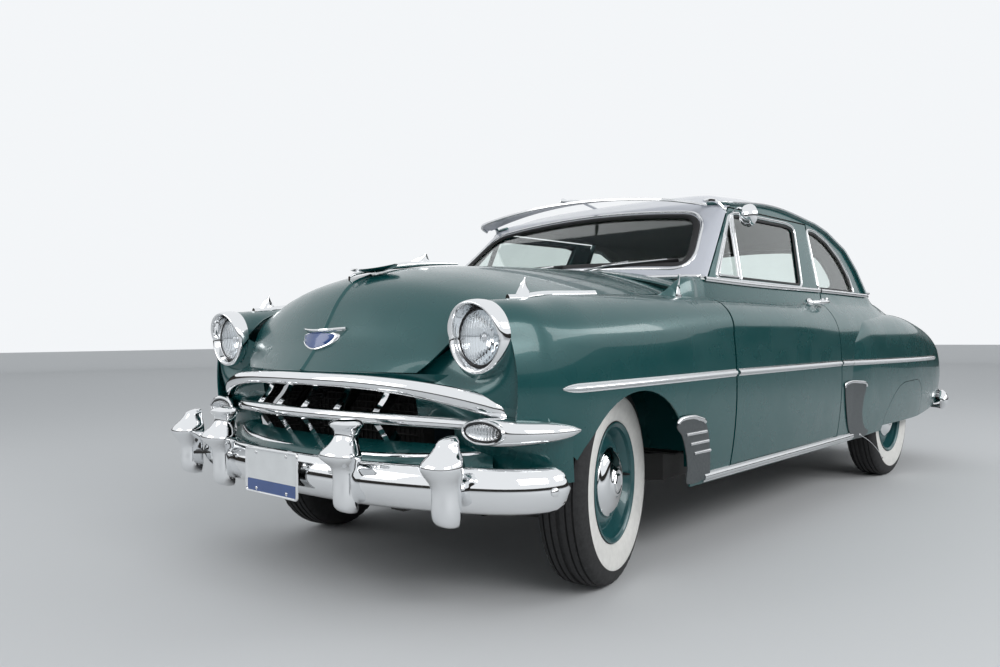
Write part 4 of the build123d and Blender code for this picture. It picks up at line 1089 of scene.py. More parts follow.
# bright trim on the body
# a drip rail from the windshield pillar over the doors and down behind the quarter glass
def railPath(side):
    loops = houseLoops()
    eaves = loops[roof["levels"] - 1][15:railTo]
    down = [halfLoop(roof["eaves"] - .36 * k / 22)[railTo - 1] for k in range(1, 23)]
    path = [Vector((p.x, side * p.y, p.z)) for p in eaves + down]
    return sided(path, side)


def addDripRails():
    for side, word in sides:
        path = railPath(side)
        outward = lambda p: (.25 if p.x > .5 else 0, side * 1.0, .35)
        gutter = [(-.011, -.003), (-.011, .004), (-.004, .012), (.005, .013), (.008, .006), (.004, .003),
                  (.010, -.003)]
        rail = sweep(word + "DripRail", path, gutter, outward, "body", "tealPaint", 50)
        sweep(word + "DripCap", [p + Vector((0, side * .0105, .0055)) for p in path],
              scaledProfile(.010, .006), outward, "body", "stainless", 50)
        if side > 0:
            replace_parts(rail, "body_mouldings")


# the belt moulding runs from the windshield's foot round the glasshouse to the rear window
def addBelt():
    for side, word in sides:
        def along(x0, x1, count, lift=.004):
            points = []
            for k in range(count):
                x = x0 + (x1 - x0) * k / (count - 1)
                y, z = atStation(cabinSide, x)[1:3]
                points.append(Vector((x, side * (y + .003), z + lift)))
            return sided(points, side)
        outward = (0, side * .8, .6)
        belt = sweep(word + "DoorBelt", along(.974, -.235, 50), scaledProfile(.024, .011), outward,
                     "door_" + word, "stainless", 50)
        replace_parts(belt, word + "_door_trim")
        sweep(word + "QuarterBelt", along(-.252, -.955, 34), scaledProfile(.024, .011), outward, "body",
              "stainless", 50)
        front = [Vector((p.x + .012, side * (p.y + .002), 1.098)) for p in halfLoop(1.098)[:21]]
        front = [p - Vector((0, 0, .010 * k / 20)) for k, p in enumerate(front)]
        front += [Vector((.992, side * .795, 1.081))]
        sweep(word + "ScreenBase", sided(front, -side), scaledProfile(.020, .010), (.75, 0, .66), "body",
              "stainless", 60)
        rear = [Vector((p.x - .002, side * (p.y + .002), 1.090)) for p in halfLoop(1.087)[railTo - 1:]]
        sweep(word + "RearBase", sided(rear, side), scaledProfile(.020, .009), (-.6, 0, .8), "body",
              "stainless", 60)


def spotOnSide(rows, x, z, side):
    line = sectionLine(rows, x, upper=20, lower=30)
    best = min(range(1, len(line) - 1), key=lambda k: abs(line[k].z - z) + (0 if line[k].z < .86 else 1))
    a, b = line[best], line[best + 1 if line[best].z > z else best - 1]
    t = 0 if abs(b.z - a.z) < 1e-6 else (z - a.z) / (b.z - a.z)
    p = a.lerp(b, min(max(t, 0), 1))
    return Vector((x, side * p.y, z))


def sidePath(rows, x0, z0, x1, z1, side, count=48):
    points = [spotOnSide(rows, x0 + (x1 - x0) * k / (count - 1), z0 + (z1 - z0) * k / (count - 1), side)
              for k in range(count)]
    return sided(points, side)


# a spear: a raised rib with a flat flange above and below it
spearShape = [(-.5, 0), (-.46, .28), (-.30, .34), (-.20, .80), (0, 1.0), (.20, .80), (.30, .34), (.46, .28),
              (.5, 0)]
spears = [("FenderSpear", frontSide, 2.045, .696, .995, .7055, "body"),
          ("DoorSpear", cabinSide, .972, .706, -.160, .707, None),
          ("QuarterSpear", fenderSwell, -.345, .7045, -1.925, .692, "body"),
          ("BridgeSpear", cabinSide, -.181, .7075, -.338, .7055, "body")]


def addSpears():
    for side, word in sides:
        for name, rows, x0, z0, x1, z1, body in spears:
            path = sidePath(rows, x0, z0, x1, z1, side)
            profile = scaledProfile(.030, .011, spearShape)
            loops = []
            for k, p in enumerate(path):
                along = alongAt(path, k)
                out = Vector((0, side, .05))
                out = (out - along * out.dot(along)).normalized()
                across = along.cross(out)
                place = k / (len(path) - 1) if side > 0 else 1 - k / (len(path) - 1)
                if name == "FenderSpear":
                    size = min(1, .12 + sqrt(max(0, place / .07))) if place < .07 else 1
                elif name == "QuarterSpear":
                    size = min(1, .2 + sqrt(max(0, (1 - place) / .05))) if place > .95 else 1
                else:
                    size = 1
                loops.append([p + across * a * size + out * (b * (.35 + .65 * size) - .001)
                              for a, b in profile])
            addLoft(word + name, loops, body or "door_" + word, "stainless", 40)
        sill = []
        for k in range(40):
            x = 1.200 - 1.600 * k / 39
            line = sectionLine(frontSide if x > .982 else cabinSide, x, lower=40)
            spots = [min(line, key=lambda p: abs(p.z - z)) for z in (.337, .330, .322, .314, .306, .300)]
            sill.append([Vector((x, side * spot.y, spot.z)) for spot in spots])
        addSheet(word + "Sill", sill, (0, side, 0), .006, "body", "tealPaint")
        path = [row[2] + Vector((0, side * .001, -.004)) for row in sill]
        sweep(word + "Rocker", sided(path, side), scaledProfile(.040, .012, spearShape), (0, side, -.1),
              "body", "stainless", 45)


addDripRails()
addBelt()
addSpears()
print("bright trim done")

# bumpers
bumper = dict(middle=.410, half=.066, bow=.034, sheet=.005)
# plan of a bumper's left half: x ahead of the middle, then y
frontPlan = [(2.408, 0), (2.402, .20), (2.388, .36), (2.352, .52), (2.300, .67), (2.236, .80), (2.170, .872),
             (2.105, .904), (2.047, .912)]
rearPlan = [(-2.420, 0), (-2.414, .22), (-2.398, .42), (-2.362, .58), (-2.310, .74), (-2.262, .83),
            (-2.205, .884), (-2.150, .903), (-2.112, .906)]


def addBar(name, plan, middle, node):
    half = through([(x, y, middle) for x, y in plan], 44)
    path = bothHalves(half)
    loops, reach, total = [], [0.0], 0.0
    for a, b in zip(path, path[1:]):
        total += (b - a).length
        reach.append(total)
    for k, p in enumerate(path):
        along = alongAt(path, k)
        out = along.cross(Vector((0, 0, 1)))
        if out.dot(Vector((p.x, p.y, 0)) - Vector((.6 * p.x, 0, 0))) < 0:
            out = -out
        end = min(reach[k], total - reach[k])
        size = sqrt(max(.02, 1 - (1 - min(end / .055, 1))**2))
        face = [(bumper["bow"] * (1 - (s / 8)**2)**.8 * (.4 + .6 * size), bumper["half"] * size * s / 8)
                for s in range(-8, 9)]
        lipped = [(-.010, -bumper["half"] * size * 1.00)] + face + [(-.012, bumper["half"] * size)]
        inner = [(d - bumper["sheet"], h * .93) for d, h in lipped[::-1]]
        loops.append([p + out * d + Vector((0, 0, h)) for d, h in lipped + inner])
    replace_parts(addLoft(name, loops, "body", "chrome", 38), node)


# each row: share of the height, half width across the car, half depth, how far the front stands forward
guardShape = {"inner": [(0, .020, .016, -.018), (.03, .031, .028, -.008), (.10, .036, .036, 0),
                        (.40, .036, .036, .002), (.48, .038, .038, .004), (.54, .052, .046, .012),
                        (.60, .067, .054, .020), (.645, .068, .055, .021), (.70, .055, .049, .014),
                        (.76, .042, .040, .004), (.84, .036, .034, -.004), (.90, .042, .036, -.004),
                        (.94, .060, .040, -.002), (.975, .062, .036, -.005), (1.0, .040, .020, -.014)],
              "outer": [(0, .022, .018, -.018), (.03, .034, .030, -.006), (.12, .040, .040, 0),
                        (.42, .040, .040, .002), (.50, .044, .044, .006), (.60, .058, .054, .014),
                        (.68, .063, .058, .018), (.75, .056, .052, .012), (.83, .040, .040, .002),
                        (.90, .032, .032, -.004), (.96, .027, .026, -.010), (1.0, .012, .010, -.024)]}


def addGuard(name, shape, x, y, low, high, back=False):
    rows = through([(r[0], r[1], r[2]) for r in guardShape[shape]], 40)
    forward = through([(r[0], r[3], 0) for r in guardShape[shape]], 40)
    loops = []
    for row, ahead in zip(rows, forward):
        z = low + (high - low) * row.x
        centre = x - .050 + ahead.y
        loop = []
        for k in range(32):
            a = 2 * pi * k / 32
            c, s = cos(a), sin(a)
            px = centre + row.z * signed(c, .8)
            py = y + row.y * signed(s, .8)
            loop.append(Vector((-px if back else px, py, z)))
        loops.append(loop)
    return addLoft(name, loops, "body", "chrome", 50)


def bolt(name, place, axis, radius, body, mat="chrome", rise=.006):
    profile = [(-.004, radius)] + [(rise * sin(pi / 2 * k / 5), radius * cos(pi / 2 * k / 5))
                                   for k in range(6)]
    profile[-1] = (rise, .0004)
    return lathe(name, profile, 20, place, axis, body, mat)


def addFrontBumper():
    addBar("frontBumperBar", frontPlan, bumper["middle"], "front_bumper")
    for side, word in sides:
        addGuard(word + "InnerGuard", "inner", 2.475, side * .359, .319, .603)
        addGuard(word + "OuterGuard", "outer", 2.408, side * .728, .318, .573)
        bolt(word + "BumperBolt", (2.128, side * .934, .409), (.18, side, 0), .013, "body")
        for y in (.16, .30):
            bolt(word + "BumperBolt" + str(int(y * 100)), (2.4385, side * y, .444), (1, 0, .2), .010, "body")
        # the irons back to the frame rails
        path = [Vector((2.38, side * .372, .405)), Vector((2.28, side * .374, .405)),
                Vector((2.15, side * .374, .4055))]
        sweep(word + "BumperIron", path, oblong(.020, .0055), (0, 0, 1), "body",
              "frameBlack", 30)
        arm = [Vector((2.37, side * .715, .405)), Vector((2.28, side * .60, .405)),
               Vector((2.16, side * .40, .405))]
        sweep(word + "OuterIron", arm, oblong(.018, .005), (0, 0, 1), "body",
              "frameBlack", 30)


def addRearBumper():
    addBar("rearBumperBar", rearPlan, .400, "rear_bumper")
    for side, word in sides:
        addGuard(word + "RearGuard", "outer", 2.474, side * .420, .318, .545, back=True)
        iron = [Vector((-2.40, side * .535, .39)), Vector((-2.16, side * .535, .39))]
        sweep(word + "RearIron", iron, oblong(.018, .018), (0, 0, 1), "body",
              "frameBlack", 30)


# a blank plate in a bright frame on the middle of the front bumper
def addPlate():
    plate = dict(y=-.005, z=.408, width=.305, height=.152)
    def box(name, w, h, x0, x1, mat, z=0, corner=.010):
        outline = rounding(oblong(w / 2, h / 2), corner)
        loops = [[Vector((x, plate["y"] + a, plate["z"] + z + b)) for a, b in outline] for x in (x0, x1)]
        return addLoft(name, loops, "body", mat, 30)
    box("plateBack", plate["width"], plate["height"], 2.4525, 2.4545, "stainless")
    box("plateFace", plate["width"] - .012, plate["height"] - .012, 2.4545, 2.4555, "paleEnamel")
    box("plateBand", plate["width"] - .018, .040, 2.4555, 2.4560, "blueEnamel", -.050, .006)
    ring = rounding(oblong(.150, .0735), .012)
    path = [Vector((2.4555, plate["y"] + a, plate["z"] + b)) for a, b in denser(ring)]
    sweep("plateFrame", path, scaledProfile(.009, .005), (1, 0, 0), "body", "chrome", 40, closed=True)
    for a in (-.089, .089):
        for b in (-.0605, .0605):
            corner = ("L" if a > 0 else "R") + ("T" if b > 0 else "B")
            bolt("plateBolt" + corner, (2.4560, plate["y"] + a, plate["z"] + b), (1, 0, 0), .006, "body",
                 "stainless", .003)
    # the bracket behind it, pressed from sheet
    bracket = [(-.108, .345), (.108, .345), (.108, .475), (-.108, .475)]
    loops = [[Vector((x, y, z)) for y, z in rounding(bracket, .012)] for x in (2.4485, 2.4515)]
    addLoft("plateBracket", loops, "body", "frameBlack", 30)
    for y in (-.07, .07):
        leg = [Vector((2.43, y, .40)), Vector((2.449, y, .40))]
        sweep("plateLeg" + ("L" if y > 0 else "R"), leg, oblong(.012, .02), (0, 0, 1),
              "body", "frameBlack", 30)


addFrontBumper()
addRearBumper()
addPlate()
print("bumpers done")

# grille and valance
grilleBars = [
    # name; end x, y, z; middle x, z; half height and depth at the middle; at the ends
    ("grilleTop", (2.166, .764, .640), (2.350, .716), (.022, .020), (.034, .026)),
    ("grilleMiddle", (2.165, .690, .586), (2.338, .601), (.019, .017), (.018, .016)),
    ("grilleLow", (2.150, .690, .500), (2.312, .474), (.012, .012), (.010, .010)),
]


def addGrille():
    grille = None
    for name, end, middle, mid, tip in grilleBars:
        ends = Vector(end)
        keys = [(middle[0] - (middle[0] - ends.x) * s**2.4, ends.y * s,
                 middle[1] - (middle[1] - ends.z) * s**3.2) for s in (0, .2, .4, .6, .75, .87, .95, 1)]
        half = through(keys, 40)
        if name == "grilleTop":
            half += [Vector((ends.x - .012, ends.y + .006, ends.z - .016)),
                     Vector((ends.x - .020, ends.y + .002, ends.z - .030))]
        path = bothHalves(half)
        loops = []
        for k, p in enumerate(path):
            along = alongAt(path, k)
            up = Vector((0, 0, 1)) - along * along.z
            up.normalize()
            out = along.cross(up)
            if out.x < 0:
                out = -out
            share = abs(p.y / ends.y)**3
            tall = mid[0] + (tip[0] - mid[0]) * share
            deep = mid[1] + (tip[1] - mid[1]) * share
            fromEnd = min(k, len(path) - 1 - k)
            close = 1 if fromEnd > 3 else sqrt(1 - (1 - (fromEnd + .35) / 4.4)**2)
            loop = []
            for j in range(24):
                a = 2 * pi * j / 24
                c, s = cos(a), sin(a)
                # the upper half leans back, so the face shows a soft crease
                lean = signed(c, .75) - .25 * max(0, s)
                loop.append(p + up * (tall * close * s) + out * (deep * close * lean))
            loops.append(loop)
        bar = addLoft(name, loops, "body", "chrome", 60)
        grille = grille or bar
    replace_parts(grille, "grille")
    for number, y in enumerate((-.335, -.168, 0, .168, .335)):
        front = 2.332 - .150 * (y / .64)**2
        spine = [(front - .058, .692), (front - .036, .655), (front + .004, .612), (front + .004, .590),
                 (front - .030, .545), (front - .062, .500)]
        spine = through([(x, y, z) for x, z in spine], 24)
        loops = []
        for k, p in enumerate(spine):
            wide = .013 + .006 * sin(pi * k / 23)
            loops.append([p + Vector((.010, 0, 0)), p + Vector((0, wide, 0)),
                          p + Vector((-.050, wide * .7, 0)), p + Vector((-.050, -wide * .7, 0)),
                          p + Vector((0, -wide, 0))])
        addLoft("grilleTooth" + str(number + 1), loops, "body", "chrome", 25)


def addValance():
    def arcRow(x0, x1, y1, z, count=33):
        return [Vector((x0 - (x0 - x1) * abs(s)**2.2, y1 * s, z))
                for s in (-1 + 2 * k / (count - 1) for k in range(count))]
    rows = [arcRow(2.262, 2.130, .705, .520), arcRow(2.276, 2.140, .710, .512),
            arcRow(2.320, 2.160, .722, .482), arcRow(2.338, 2.168, .730, .464),
            arcRow(2.340, 2.166, .735, .452), arcRow(2.330, 2.150, .740, .425),
            arcRow(2.300, 2.120, .745, .375), arcRow(2.280, 2.105, .745, .345)]
    columns = [through([row[k] for row in rows], 22) for k in range(len(rows[0]))]
    grid = [[column[i] for column in columns] for i in range(22)]
    addSheet("valance", grid, (1, 0, .2), .004, "body", "tealPaint")
    # body-coloured corners between the valance and the fender's foot
    for side, word in sides:
        low = []
        for i in range(10):
            z = .610 - .20 * i / 9
            tuck = .035 * (i / 9)**2
            low.append([Vector((x - tuck, side * (y - tuck * .6), z))
                        for x, y in ((2.160, .56), (2.172, .64), (2.166, .72), (2.142, .80), (2.105, .855),
                                     (2.060, .888), (2.000, .900))])
        low = [through(row, 19) for row in low]
        addSheet(word + "FenderFoot", low, (1, side * .5, 0), .005, "body", "tealPaint")
    # the dark baffle behind the teeth
    baffle = [[Vector((2.19 - .10 * (y / .64)**2, y, z)) for y in (-.60 + 1.2 * k / 24 for k in range(25))]
              for z in (.700, .690, .680)]
    addSheet("topBaffle", baffle, (1, 0, 0), .003, "body", "radiatorBlack")
    for number in range(7):
        z = .515 + .026 * number
        strip = [[Vector((x, y, z + (.006 if x > 2.07 else 0)))
                  for y in (-.30 + .6 * k / 12 for k in range(13))] for x in (2.066, 2.082)]
        addSheet("radiatorShutter" + str(number + 1), strip, (0, 0, 1), .002, "body", "frameBlack")
    # the panel between the hood and the grille's arch
    rows = []
    for i in range(8):
        t = i / 7
        rows.append([Vector((2.338 - .016 * t - (.155 - .02 * t) * abs(s)**2.5, .575 * s,
                             .742 - .006 * abs(s)**2 - .022 * t))
                     for s in (-1 + 2 * k / 40 for k in range(41))])
    nose = addSheet("nosePanel", rows, (1, 0, .3), .004, "body", "tealPaint")
    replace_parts(nose, "nose_panel")


# the parking lamps' long pods
podRows = [(2.222, .742, .084, .036), (2.216, .752, .090, .040), (2.190, .786, .093, .0425),
           (2.150, .830, .086, .041), (2.105, .872, .070, .037), (2.055, .905, .046, .028),
           (2.020, .922, .024, .017), (2.002, .929, .005, .005)]
pod = dict(y=.742, z=.574)


def addPods():
    rows = list(zip(through([(r[0], r[1], 0) for r in podRows], 40),
                    through([(r[0], r[2], r[3]) for r in podRows], 40)))
    for side, word in sides:
        loops = []
        for centre, size in rows:
            loop = []
            for k in range(36):
                a = 2 * pi * k / 36
                c, s = cos(a), sin(a)
                loop.append(Vector((centre.x, side * (centre.y + size.y * signed(c, .85)),
                                    pod["z"] + size.z * signed(s, .85 if c < 0 else 1.15))))
            loops.append(loop)
        shell = addLoft(word + "LampPod", loops, "body", "chrome", 45)
        if side > 0:
            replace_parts(shell, "front_lamps")
        oval = lambda w, h, n=40: [(w * cos(2 * pi * k / n), h * sin(2 * pi * k / n)) for k in range(n)]
        def onPod(x, a, b):
            return Vector((x, side * (pod["y"] + a), pod["z"] + b))
        def ring(name, w, h, x, width, height, mat):
            path = [onPod(x, a, b) for a, b in oval(w, h)]
            sweep(name, path, scaledProfile(width, height), (1, 0, 0), "body", mat, 50, closed=True)
        ring(word + "PodSeal", .073, .0270, 2.2215, .010, .006, "darkRubber")
        ring(word + "PodBezel", .080, .0335, 2.2210, .012, .009, "chrome")
        dome = ((0, 1), (.0045, .97), (.009, .86), (.0125, .64), (.014, .35), (.0145, .05))
        loops = [[onPod(2.2225 + rise, a, b) for a, b in oval(.070 * f, .0245 * f)] for rise, f in dome]
        lens = addLoft(word + "PodLens", loops, "body", "lampGlass", 60)
        dish = ((0, 1), (.001, .9), (.0012, .5), (.0012, .05))
        bowl = [[onPod(2.2222 - depth, a, b) for a, b in oval(.069 * f, .024 * f)] for depth, f in dish]
        addLoft(word + "PodBowl", bowl, "body", "stainless", 60)
        if side > 0:
            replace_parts(lens, "lamp_lenses")


# each row: distance ahead of the fender's face, radius, and how much further the top stands out
rimRows = [(-.002, .1125, 0), (.010, .1135, .004), (.024, .1120, .014), (.034, .1075, .024),
           (.037, .1020, .027), (.033, .0970, .024), (.022, .0915, .014), (.012, .0870, .004),
           (.010, .0835, 0)]


def addHeadlights():
    for side, word in sides:
        centre = Vector((headlight["x"], side * headlight["y"], headlight["z"]))
        path = through([(r[0], r[1], r[2]) for r in rimRows], 26)
        loops = []
        for p in path:
            loop = []
            for k in range(72):
                a = 2 * pi * k / 72
                lean = max(0, sin(a))**.7
                loop.append(centre + Vector((p.x + p.z * lean, p.y * cos(a),
                                             p.y * sin(a) * (1 + .012 * lean))))
            loops.append(loop)
        verts = [v for loop in loops for v in loop]
        rim = addObject(word + "LampRim", verts, gridFaces(len(loops), 72, wrap=True), "body", "chrome", 60)
        thick = rim.modifiers.new("thick", "SOLIDIFY")
        thick.thickness, thick.offset = .0022, -1
        applied(rim, 60)
        lathe(word + "LampSeal", [(.007, .0865), (.013, .0850), (.015, .0825), (.009, .0815)], 64, centre,
              (1, 0, 0), "body", "darkRubber", 50)
        dome = [(.011 + .019 * (1 - (r / .083)**2), max(r, .0004))
                for r in (.083, .078, .070, .058, .044, .030, .015, 0)]
        lathe(word + "LampLens", dome + [(p[0] - .003, p[1]) for p in dome[::-1]], 64, centre, (1, 0, 0),
              "body", "lampGlass", 60)
        bowl = [(.010 - .055 * (1 - (r / .082)**2), max(r, .0004))
                for r in (.082, .074, .060, .044, .028, .014, 0)]
        lathe(word + "LampBowl", bowl + [(p[0] - .002, p[1]) for p in bowl[::-1]], 48, centre, (1, 0, 0),
              "body", "mirrorGlass", 60)
        lathe(word + "LampCap", [(-.040, .0004), (-.012, .016), (-.006, .014), (-.002, .006), (-.001, .0004)],
              24, centre, (1, 0, 0), "body", "stainless", 50)


addGrille()
addValance()
addPods()
addHeadlights()
print("front end done")

# wheels and tyres
wheelSet = dict(radius=.350, whiteLow=.2085, whiteHigh=.2945, steps=144, kingpin=.650, offset=.070, rear=.746,
                steer=radians(15), notch=.0045)
# each row of the tyre: along the axle, radius, and 1 where the shoulder is notched
tyreRings = [(-.060, .1995, 0), (-.066, .206, 0), (-.078, .232, 0), (-.0845, .268, 0), (-.0845, .285, 0),
             (-.079, .315, 0), (-.0725, .332, 1), (-.066, .3415, 1), (-.058, .3455, 1), (-.0535, .3470, 0),
             (-.0520, .3405, 0), (-.0475, .3405, 0), (-.0460, .3485, 0), (-.0305, .3496, 0),
             (-.0290, .3420, 0), (-.0245, .3420, 0), (-.0230, .3498, 0), (-.0075, .3500, 0),
             (-.0060, .3425, 0), (.0060, .3425, 0), (.0075, .3500, 0), (.0230, .3498, 0), (.0245, .3420, 0),
             (.0290, .3420, 0), (.0305, .3496, 0), (.0460, .3485, 0), (.0475, .3405, 0), (.0520, .3405, 0),
             (.0535, .3470, 0), (.058, .3455, 1), (.066, .3415, 1), (.0725, .332, 1), (.0775, .318, 0),
             (.0815, .302, 0), (.0825, .2965, 0), (.0838, .2940, 0), (.0850, .285, 0), (.0850, .268, 0),
             (.0820, .246, 0), (.0770, .226, 0), (.0715, .2125, 0), (.0685, .2085, 0), (.0655, .2045, 0),
             (.0600, .1995, 0), (0, .1965, 0)]
rimRings = [(.060, .1900), (.0655, .1935), (.0672, .2010), (.0705, .2060), (.0735, .2062), (.0750, .2030),
            (.0735, .1985), (.0700, .1955), (.0680, .1925), (.0660, .1890), (.0560, .1868), (.0440, .1845),
            (.0360, .1800), (.0290, .1730), (.0250, .1660), (.0255, .1600), (.0300, .1530), (.0370, .1440),
            (.0425, .1350), (.0445, .1270), (.0430, .1190), (.0370, .1080), (.0310, .0970), (.0280, .0850),
            (.0250, .0180), (.0200, .0180), (.0230, .0850), (.0260, .0990), (.0320, .1110), (.0380, .1210),
            (.0390, .1270), (.0370, .1330), (.0310, .1420), (.0240, .1510), (.0190, .1600), (-.0200, .1640),
            (-.0300, .1860), (-.0640, .1880), (-.0670, .2040), (-.0720, .2045), (-.0690, .1840),
            (-.0330, .1815), (-.0240, .1590), (.0130, .1590)]
capRings = [(.0440, .1175), (.0470, .1200), (.0510, .1195), (.0530, .1165), (.0545, .1120), (.0590, .1060),
            (.0645, .0980), (.0690, .0870), (.0715, .0750), (.0728, .0620), (.0735, .0520), (.0765, .0490),
            (.0800, .0470), (.0818, .0430), (.0815, .0390), (.0795, .0365), (.0805, .0300), (.0825, .0180),
            (.0832, .0004)]


def addWheel(word, place, axis, body, roadwheel):
    axis = Vector(axis).normalized()
    steps = wheelSet["steps"]
    turn = Vector((1, 0, 0)).rotation_difference(axis).to_matrix()
    verts = []
    for along, radius, notch in tyreRings:
        for k in range(steps):
            r = radius - (wheelSet["notch"] if notch and k % 3 == 0 else 0)
            a = 2 * pi * k / steps
            verts.append(Vector(place) + turn @ Vector((along, r * cos(a), r * sin(a))))
    faces = gridFaces(len(tyreRings), steps, wrap=True)
    last = (len(tyreRings) - 1) * steps
    faces += [(last + k, last + (k + 1) % steps, (k + 1) % steps, k) for k in range(steps)]
    tyre = addObject(word + "Tyre", verts, faces, body, ("tyreRubber", "whiteRubber"), 40)
    for polygon in tyre.data.polygons:
        mid = polygon.center - Vector(place)
        along = mid.dot(axis)
        radius = (mid - axis * along).length
        white = along > .06 and wheelSet["whiteLow"] < radius < wheelSet["whiteHigh"]
        polygon.material_index = 1 if white else 0
    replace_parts(tyre, roadwheel + "_tyre")
    rim = lathe(word + "Rim", rimRings + rimRings[:1], 96, place, axis, body, "wheelPaint", 35)
    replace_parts(rim, roadwheel + "_wheel")
    cap = capRings + [(a - .0025, max(r - .001, .0004)) for a, r in capRings[::-1]]
    lathe(word + "Cap", cap, 96, place, axis, body, "chrome", 50)
    # a plain six-sided boss in the cap's middle, the valve and four small nubs round the cap's lip
    side = turn @ Vector((0, 1, 0))
    up = turn @ Vector((0, 0, 1))
    loops = []
    for along, radius in ((.0800, .030), (.0840, .029), (.0850, .026)):
        loops.append([Vector(place) + axis * along + side * radius * cos(pi * k / 3)
                      + up * radius * sin(pi * k / 3) for k in range(6)])
    addLoft(word + "Boss", loops, body, "chrome", 20)
    valve = Vector(place) + axis * .045 + side * .172
    lathe(word + "Valve", [(-.010, .006), (.012, .005), (.014, .004), (.022, .0035), (.0235, .0004)], 16,
          valve, axis + side * -.15, body, "darkRubber", 40)
    for number in range(4):
        a = pi / 4 + pi / 2 * number
        spot = Vector(place) + axis * .050 + (side * cos(a) + up * sin(a)) * .1170
        bolt(word + "Nub" + str(number + 1), spot, axis, .006, body, "stainless", .004)


def addWheels():
    ahead = wheelSet["offset"] * sin(wheelSet["steer"])
    outward = wheelSet["offset"] * cos(wheelSet["steer"])
    for side, word in sides:
        axis = (-side * sin(wheelSet["steer"]), side * cos(wheelSet["steer"]), 0)
        place = (wheelX[0] - side * ahead, side * (wheelSet["kingpin"] + outward), wheelSet["radius"])
        addWheel(word + "Front", place, axis, "wheel_front_" + word, word + "_front")
    for side, word in sides:
        place = (wheelX[1], side * wheelSet["rear"], wheelSet["radius"])
        addWheel(word + "Rear", place, (0, side, 0), "wheel_rear_" + word, word + "_rear")


addWheels()
print("wheels done")

# outside fittings
visorShape = dict(half=.645, rear=.715, depth=.155, bow=.045, middle=1.500, edge=1.434, tip=.130, thick=.0025)


def addVisor():
    # a curved sheet with rounded tips over the windshield, its edge rolled
    rows = []
    for i in range(15):
        t = i / 14
        crown, edge = visorShape["middle"] - .020 * t, visorShape["edge"] - .012 * t
        row = []
        for k in range(61):
            u = -1 + k / 30
            across = abs(u)
            # rounded tips: the sheet's front edge falls back towards its ends
            tip = visorShape["tip"] * max(0, (across - .80) / .20)**2.2
            x = visorShape["rear"] + (visorShape["depth"] - tip) * t - visorShape["bow"] * across**2
            z = edge + (crown - edge) * (1 - across**2) + .006 * sin(pi * t)
            row.append(Vector((x, (visorShape["half"] + .012 * t) * u, z)))
        rows.append(row)
    visor = addSheet("sunVisor", rows, (0, 0, 1), visorShape["thick"], "body", "palePaint")
    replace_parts(visor, "sun_visor")
    rolled = [(-.005, -.004), (-.005, .004), (0, .006), (.005, .004), (.005, -.004), (0, -.006)]
    sweep("visorEdge", rows[-1], rolled, (0, 0, 1), "body", "stainless", 50)
    # the rib along the middle and its plain pointed ornament
    rib = [(x, 0, z) for x, z in ((.600, 1.487), (.66, 1.497), (.72, 1.506), (.80, 1.500), (.872, 1.489))]
    sweep("visorRib", through(rib, 20), scaledProfile(.022, .009), (0, 0, 1), "body", "stainless", 50)
    point = ((-1, 0), (-.4, .7), (0, 1), (.4, .7), (1, 0), (0, -.5))
    loops = [[Vector((x, y * w, 1.492 + z * h)) for y, z in point]
             for x, w, h in ((.845, .030, .012), (.862, .022, .018), (.878, .010, .014), (.886, .002, .003))]
    addLoft("visorPoint", loops, "body", "chrome", 35)
    for side, word in sides:
        bracket = [Vector((.688, side * .640, 1.440)), Vector((.655, side * .652, 1.450)),
                   Vector((.610, side * .662, 1.446)), Vector((.585, side * .678, 1.420)),
                   Vector((.582, side * .690, 1.392))]
        sweep(word + "VisorBracket", through(bracket, 20),
              [(-.008, -.003), (-.008, .004), (0, .008), (.008, .004), (.008, -.003)], (0, side, .4), "body",
              "chrome", 50)
        bolt(word + "VisorScrew", (.588, side * .690, 1.412), (0, side, .3), .010, "body", "chrome", .008)


# the upright fin on the ornament's tail, rounded across its thickness
def addOrnamentFin():
    def edge(t, u, side):
        x = 1.86 - .16 * t * .6 - u * (.12 * (1 - t) + .012)
        out = Vector((0, .003 * sqrt(max(0, u * (1 - u) * 4)), 0))
        return Vector((x, side * .0015 * (1 - t), 1.134 + .048 * t)) + out * side
    rows = [[edge(i / 6, u, 1) for u in (0, .25, .5, .75, 1)] + [edge(i / 6, u, -1) for u in (.75, .5, .25)]
            for i in range(7)]
    addLoft("ornamentFin", rows, "hood_lid", "chrome", 50)


